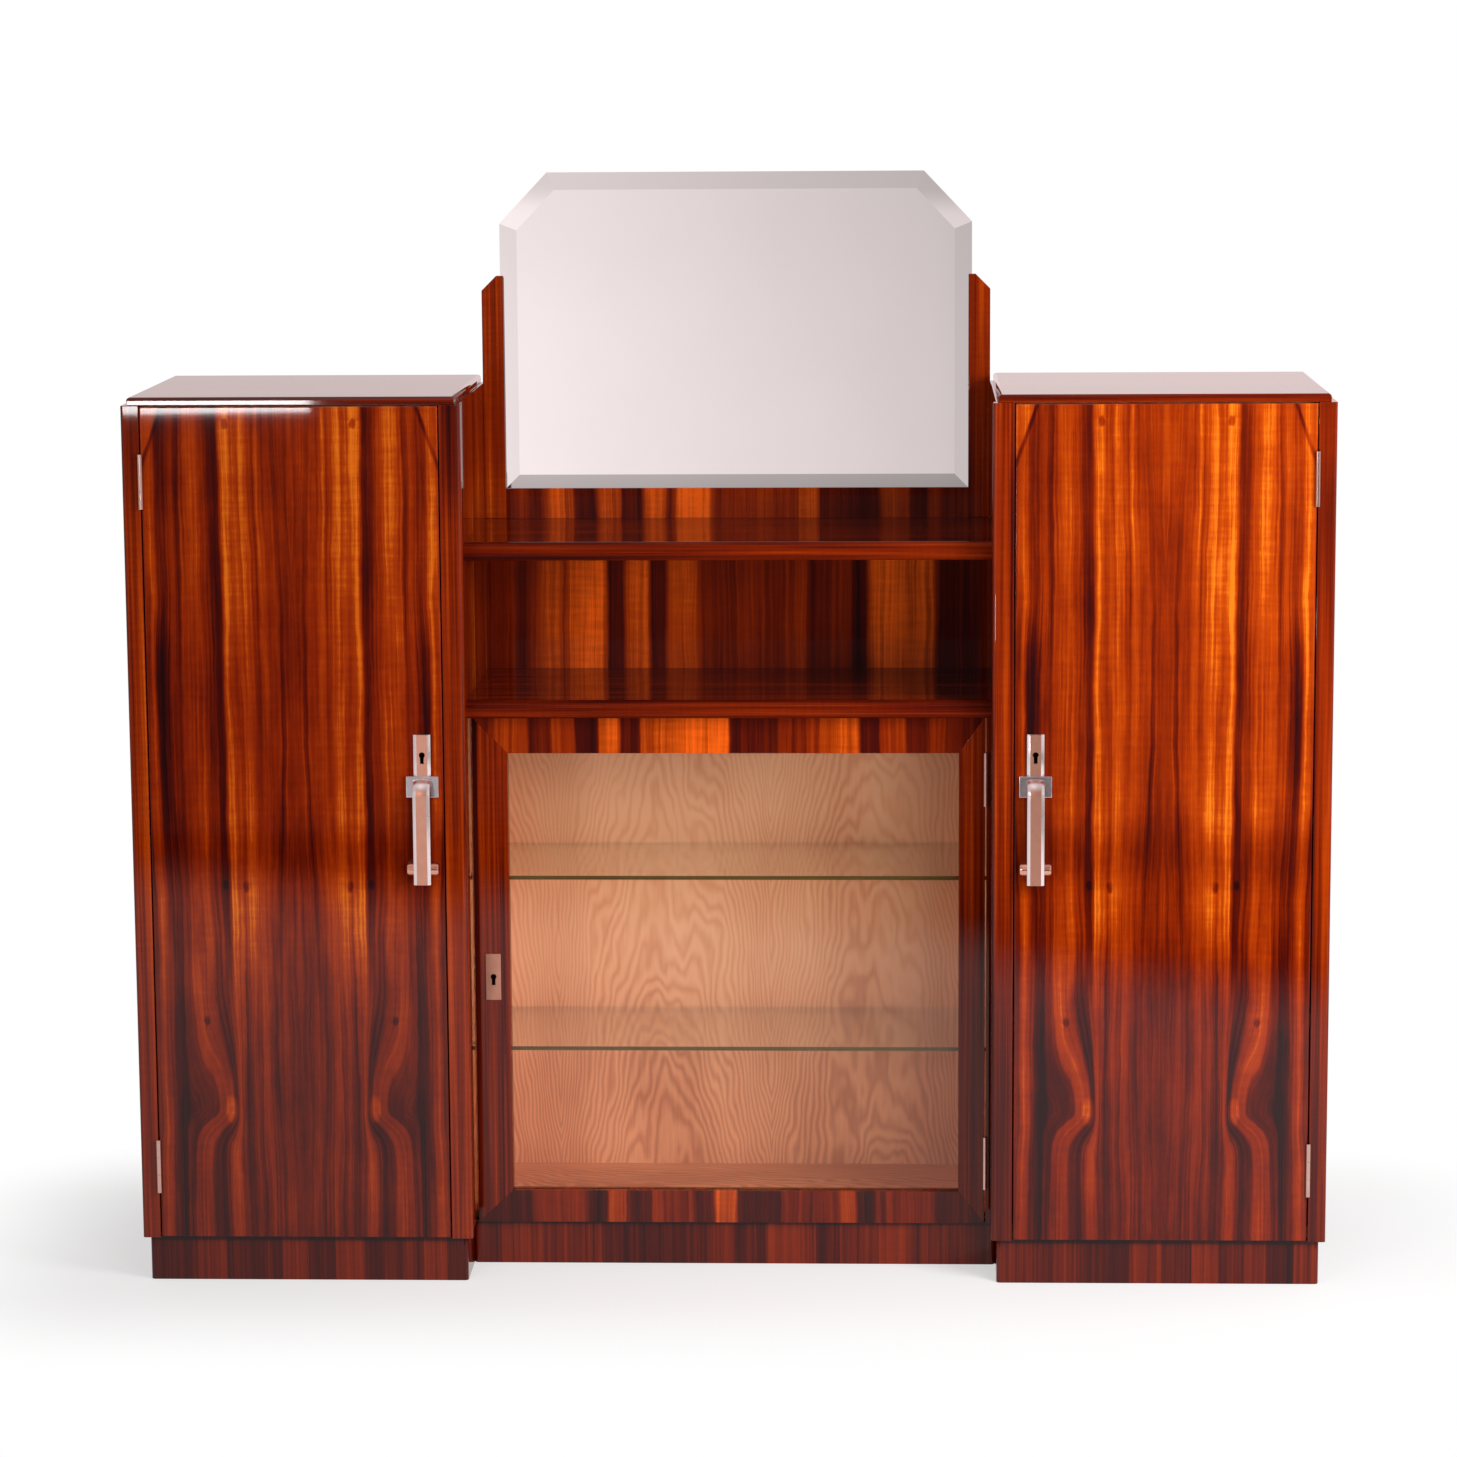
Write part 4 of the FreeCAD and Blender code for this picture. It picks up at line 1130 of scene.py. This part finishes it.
class SIDEBOARD_OT_handles(bpy.types.Operator):
    """Model the key plates, bases, bent grips, rollers and the escutcheon"""

    bl_idname = "sideboard.handles"
    bl_label = "Handles and key plates"

    def execute(self, context):
        metal = context.scene.sideboard.metal
        tint = tuple(metal.nickel)
        nickel = brushed("brushed_nickel", tint, "z", roughness=0.48, brush=0.25, bevel=strip_bevel)
        plain = brushed("plain_nickel", tint, "z", roughness=0.45, brush=0.25)
        rolled = brushed("turned_nickel", tint, "x", roughness=0.20, brush=0.15)
        tint = tuple(metal.chrome)
        chrome = brushed("soft_chrome", tint, "x", roughness=0.30, brush=0.15, worn=0.45)
        for side in SIDES:
            softened(f"{side}_key_plate", f"{side}_bevelled_key_plate", nickel, metal.softening)
            softened(f"{side}_handle_base", f"{side}_square_base", chrome, 2 * metal.softening)
            softened(f"{side}_handle_grip", f"{side}_bent_grip", nickel, metal.softening)
            self.roller(side, rolled)
        softened("centre_escutcheon", "small_escutcheon", plain, metal.softening)
        return {"FINISHED"}

    def roller(self, side, material):
        """A turned roller with round ends, spun about its own axis."""
        node = f"{side}_handle_roller"
        low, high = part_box(node)
        centre = (low + high) / 2
        half = (high.x - low.x) / 2
        radius = (high.y - low.y) / 2
        crown = 4 * MM
        profile = (
            (-half, 0.0),
            (-half, radius - crown),
            (-half + 0.3 * crown, radius - 0.3 * crown),
            (-half + crown, radius),
            (half - crown, radius),
            (half - 0.3 * crown, radius - 0.3 * crown),
            (half, radius - crown),
            (half, 0.0),
        )
        work = bmesh.new()
        points = [work.verts.new(centre + Vector((x, 0.0, r))) for x, r in profile]
        edges = [work.edges.new(pair) for pair in zip(points, points[1:])]
        bmesh.ops.spin(
            work,
            geom=points + edges,
            cent=centre,
            axis=(1.0, 0.0, 0.0),
            angle=math.tau,
            steps=48,
            use_merge=True,
        )
        bmesh.ops.remove_doubles(work, verts=work.verts, dist=MERGE_DISTANCE)
        for face in work.faces:
            face.smooth = True
        put(work, f"{side}_turned_roller", material, node)


class SIDEBOARD_OT_ironmongery(bpy.types.Operator):
    """Finish the hinges, locks, bolts, strikes and shelf rests"""

    bl_idname = "sideboard.ironmongery"
    bl_label = "Hinges and locks"

    def execute(self, context):
        metal = context.scene.sideboard.metal
        hinge = brushed("hinge_nickel", tuple(metal.hinge), "z", roughness=0.34, brush=0.15)
        steel = brushed("plain_steel", tuple(metal.steel), "z", roughness=0.38, brush=0.25)
        black = brushed("blackened_steel", tuple(metal.black), "z", roughness=0.50, brush=0.25)
        dress(
            hinge,
            "left_door_hinge_leaves",
            "right_door_hinge_leaves",
            "centre_door_hinge_leaves",
            "hinge_frame_leaves",
            "hinge_pins",
        )
        dress(black, "left_lock_case", "right_lock_case", "centre_lock_case")
        dress(
            steel,
            "left_lock_bolt",
            "right_lock_bolt",
            "centre_lock_bolt",
            "strike_plates",
            "glass_shelf_rests",
        )
        return {"FINISHED"}


# Camera found from the corners of the cabinet, in metres and radians
CAMERA_PLACE = (0.25787, -6.63677, 1.87638)
CAMERA_PITCH = 0.15698
CAMERA_YAW = -0.03989
CAMERA_ROLL = -0.00666
FOCAL_PIXELS = 4366.2
IMAGE_PIXELS = 1457
SENSOR_MM = 36.0

# Place, target and size of each lamp, in metres
KEY_LAMP = ((1.7, -1.6, 1.6), (0.55, -0.2, 1.0), (1.0, 1.0))
LOW_LAMP = ((1.3, -3.3, 0.5), (0.0, 0.0, 0.6), (1.2, 0.9))
SMALL_LAMP = ((-1.21, -3.0, 1.214), (-0.8, 0.0, 1.214), (0.42, 0.24))

# Half the floor's width, its glow, and how far from the cabinet it turns white
FLOOR_HALF = 4.0
FLOOR_GLOW = 0.52
FLOOR_FADE = 0.45

# Brightness of the room that the mirror shows, from far left to far right, and below eye level
ROOM_SIDES = (
    (0.00, 0.55),
    (0.18, 0.75),
    (0.30, 0.50),
    (0.39, 0.85),
    (0.450, 0.93),
    (0.454, 1.04),
    (0.48, 0.86),
    (0.50, 0.73),
    (0.5055, 0.70),
    (0.512, 0.58),
    (0.56, 0.55),
    (0.70, 0.45),
    (0.84, 1.00),
    (1.00, 0.80),
)
ROOM_LOW = 0.08


class SIDEBOARD_OT_stage(bpy.types.Operator):
    """Set the floor, the lamps, the studio round them and the camera"""

    bl_idname = "sideboard.stage"
    bl_label = "Studio"

    def execute(self, context):
        stage = context.scene.sideboard.stage
        self.lay_floor(stage)
        self.surround(context.scene, stage)
        key = self.lamp("key_lamp", stage.key, *KEY_LAMP)
        low = self.lamp("low_lamp", stage.low, *LOW_LAMP)
        self.lamp("fill_lamp", stage.fill, *SMALL_LAMP)
        for hidden in (key, low):
            hidden.visible_glossy = False
        self.aim_camera(context.scene)
        context.scene.view_settings.view_transform = "Standard"
        return {"FINISHED"}

    def lay_floor(self, stage):
        """A pale floor that keeps the shadow and looks white to the camera."""
        work = bmesh.new()
        bmesh.ops.create_grid(work, x_segments=1, y_segments=1, size=FLOOR_HALF)
        mesh = bpy.data.meshes.new("floor")
        work.to_mesh(mesh)
        work.free()
        floor = bpy.data.objects.new("floor", mesh)
        bpy.context.scene.collection.objects.link(floor)
        material, place = new_finish("pale_floor", {"Roughness": 0.9, "Specular IOR Level": 0.0})
        x, y, z = place.parts()
        speck = grain(x, y, 3, 3, 2.0, 0.5, 111.0)
        shade = speck.ramp(((0.2, tuple(stage.floor)), (0.8, scaled(stage.floor, 0.99))))
        tree = material.node_tree
        near = (y - x * 0.5).rise(-3.1, -2.4)
        direct = self.direct_rays(place)
        glossy = self.glossy_rays(place)
        unlit = glossy * (1.0 - near)
        feed(material, {"Base Color": unlit.mix(shade, solid(0.0))})
        seen = direct + glossy * near
        glow = seen.node("Emission", {}, {"Color": solid(1.0), "Strength": seen * FLOOR_GLOW})
        lit = Wire(tree, tree.nodes["Principled BSDF"].outputs["BSDF"])
        both = lit.node("AddShader", {}, {0: lit, 1: glow})
        white = lit.node("Emission", {}, {"Color": solid(1.0), "Strength": 1.0})
        aside = (abs(x) - CAD_BOX[1][0]).larger(0.0)
        ahead = (abs(y) - CAD_BOX[1][1]).larger(0.0)
        squared = aside * aside + ahead * ahead
        away = squared.maths("SQRT", squared).rise(0.0, FLOOR_FADE)
        whole = both.node("MixShader", {}, {0: direct * away, 1: both, 2: white})
        tree.links.new(whole.socket, tree.nodes["Material Output"].inputs["Surface"])
        mesh.materials.append(material)

    def direct_rays(self, wire):
        """1 for what the camera sees, straight or through glass."""
        camera = wire.node("LightPath", {}, {}, "Is Camera Ray")
        through = wire.node("LightPath", {}, {}, "Is Transmission Ray")
        return camera.larger(through)

    def glossy_rays(self, wire):
        return wire.node("LightPath", {}, {}, "Is Glossy Ray")

    def surround(self, scene, stage):
        """White behind the cabinet, a pale room in its reflections and an even light."""
        world = bpy.data.worlds.new("studio")
        world.use_nodes = True
        scene.world = world
        tree = world.node_tree
        place = Wire(tree, tree.nodes.new("ShaderNodeTexCoord").outputs["Generated"])
        x, y, z = place.parts()
        aside = abs(x + 0.04)
        lit = z.rise(0.24, 0.30).larger(z.rise(0.02, 0.12) * (0.30 + 0.70 * aside.rise(0.16, 0.26)))
        lit = lit.larger(aside.rise(0.30, 0.50))
        room = (x * 0.5 + 0.5).ramp(ROOM_SIDES) * (ROOM_LOW + (1.0 - ROOM_LOW) * lit)
        room = room * (1.0 - 0.18 * z.rise(0.33, 0.44)) * (1.0 + 0.5 * z.rise(0.6, 0.9))
        strip = z.rise(0.388, 0.400) * z.rise(0.424, 0.418)
        room = room + strip * 0.30
        behind = y.rise(-0.3, 0.3)
        room = room + behind * (0.89 + x.rise(-0.16, 0.06) * 0.17 - room)
        direct = self.direct_rays(place)
        glossy = self.glossy_rays(place)
        plain = stage.ambient * (1.0 - direct.larger(glossy))
        strength = plain + direct.larger(glossy * room)
        warm = behind.mix(solid((1.0, 0.93, 0.93)), solid((1.0, 0.84, 0.83)))
        tint = glossy.mix(solid(1.0), warm)
        tree.links.new(strength.socket, tree.nodes["Background"].inputs["Strength"])
        tree.links.new(tint.socket, tree.nodes["Background"].inputs["Color"])

    def lamp(self, name, power, place, target, size):
        """A soft rectangular lamp that faces a point."""
        light = bpy.data.lights.new(name, "AREA")
        light.shape = "RECTANGLE"
        light.size, light.size_y = size
        light.energy = power
        lamp = bpy.data.objects.new(name, light)
        bpy.context.scene.collection.objects.link(lamp)
        lamp.location = place
        lamp.rotation_euler = (Vector(target) - Vector(place)).to_track_quat("-Z", "Y").to_euler()
        return lamp

    def aim_camera(self, scene):
        camera = bpy.data.objects.new("camera", bpy.data.cameras.new("camera"))
        scene.collection.objects.link(camera)
        camera.data.sensor_width = SENSOR_MM
        camera.data.lens = SENSOR_MM * FOCAL_PIXELS / IMAGE_PIXELS
        flat = math.cos(CAMERA_PITCH)
        ahead = Vector((
            math.sin(CAMERA_YAW) * flat,
            math.cos(CAMERA_YAW) * flat,
            -math.sin(CAMERA_PITCH),
        ))
        level = Vector((math.cos(CAMERA_YAW), -math.sin(CAMERA_YAW), 0.0))
        upward = level.cross(ahead)
        right = level * math.cos(CAMERA_ROLL) + upward * math.sin(CAMERA_ROLL)
        up = upward * math.cos(CAMERA_ROLL) - level * math.sin(CAMERA_ROLL)
        turn = Matrix((right, up, -ahead)).transposed()
        camera.matrix_world = Matrix.Translation(CAMERA_PLACE) @ turn.to_4x4()
        scene.camera = camera


OPERATORS = (
    SIDEBOARD_OT_doors,
    SIDEBOARD_OT_carcass,
    SIDEBOARD_OT_niche,
    SIDEBOARD_OT_glazed_door,
    SIDEBOARD_OT_linings,
    SIDEBOARD_OT_glass,
    SIDEBOARD_OT_handles,
    SIDEBOARD_OT_ironmongery,
    SIDEBOARD_OT_stage,
)
SETTINGS = (
    VeneerSettings,
    LiningSettings,
    GlassSettings,
    MetalSettings,
    StageSettings,
    SideboardSettings,
)


class SIDEBOARD_PT_looks(bpy.types.Panel):
    """Lists the steps and the settings"""

    bl_idname = "SIDEBOARD_PT_looks"
    bl_label = "Mirrored sideboard"
    bl_space_type = "VIEW_3D"
    bl_region_type = "UI"
    bl_category = "Sideboard"

    def draw(self, context):
        for operator in OPERATORS:
            self.layout.operator(operator.bl_idname)
        looks = context.scene.sideboard
        for group in (looks.veneer, looks.lining, looks.glass, looks.metal, looks.stage):
            box = self.layout.box()
            for name in group.__annotations__:
                box.prop(group, name)


def register():
    for cls in (*SETTINGS, *OPERATORS, SIDEBOARD_PT_looks):
        bpy.utils.register_class(cls)
    bpy.types.Scene.sideboard = bpy.props.PointerProperty(type=SideboardSettings)


def unregister():
    del bpy.types.Scene.sideboard
    for cls in reversed((*SETTINGS, *OPERATORS, SIDEBOARD_PT_looks)):
        bpy.utils.unregister_class(cls)


def main():
    register()
    bpy.ops.sideboard.doors()
    bpy.ops.sideboard.carcass()
    bpy.ops.sideboard.niche()
    bpy.ops.sideboard.glazed_door()
    bpy.ops.sideboard.linings()
    bpy.ops.sideboard.glass()
    bpy.ops.sideboard.handles()
    bpy.ops.sideboard.ironmongery()
    bpy.ops.sideboard.stage()


if __name__ == "__main__":
    main()
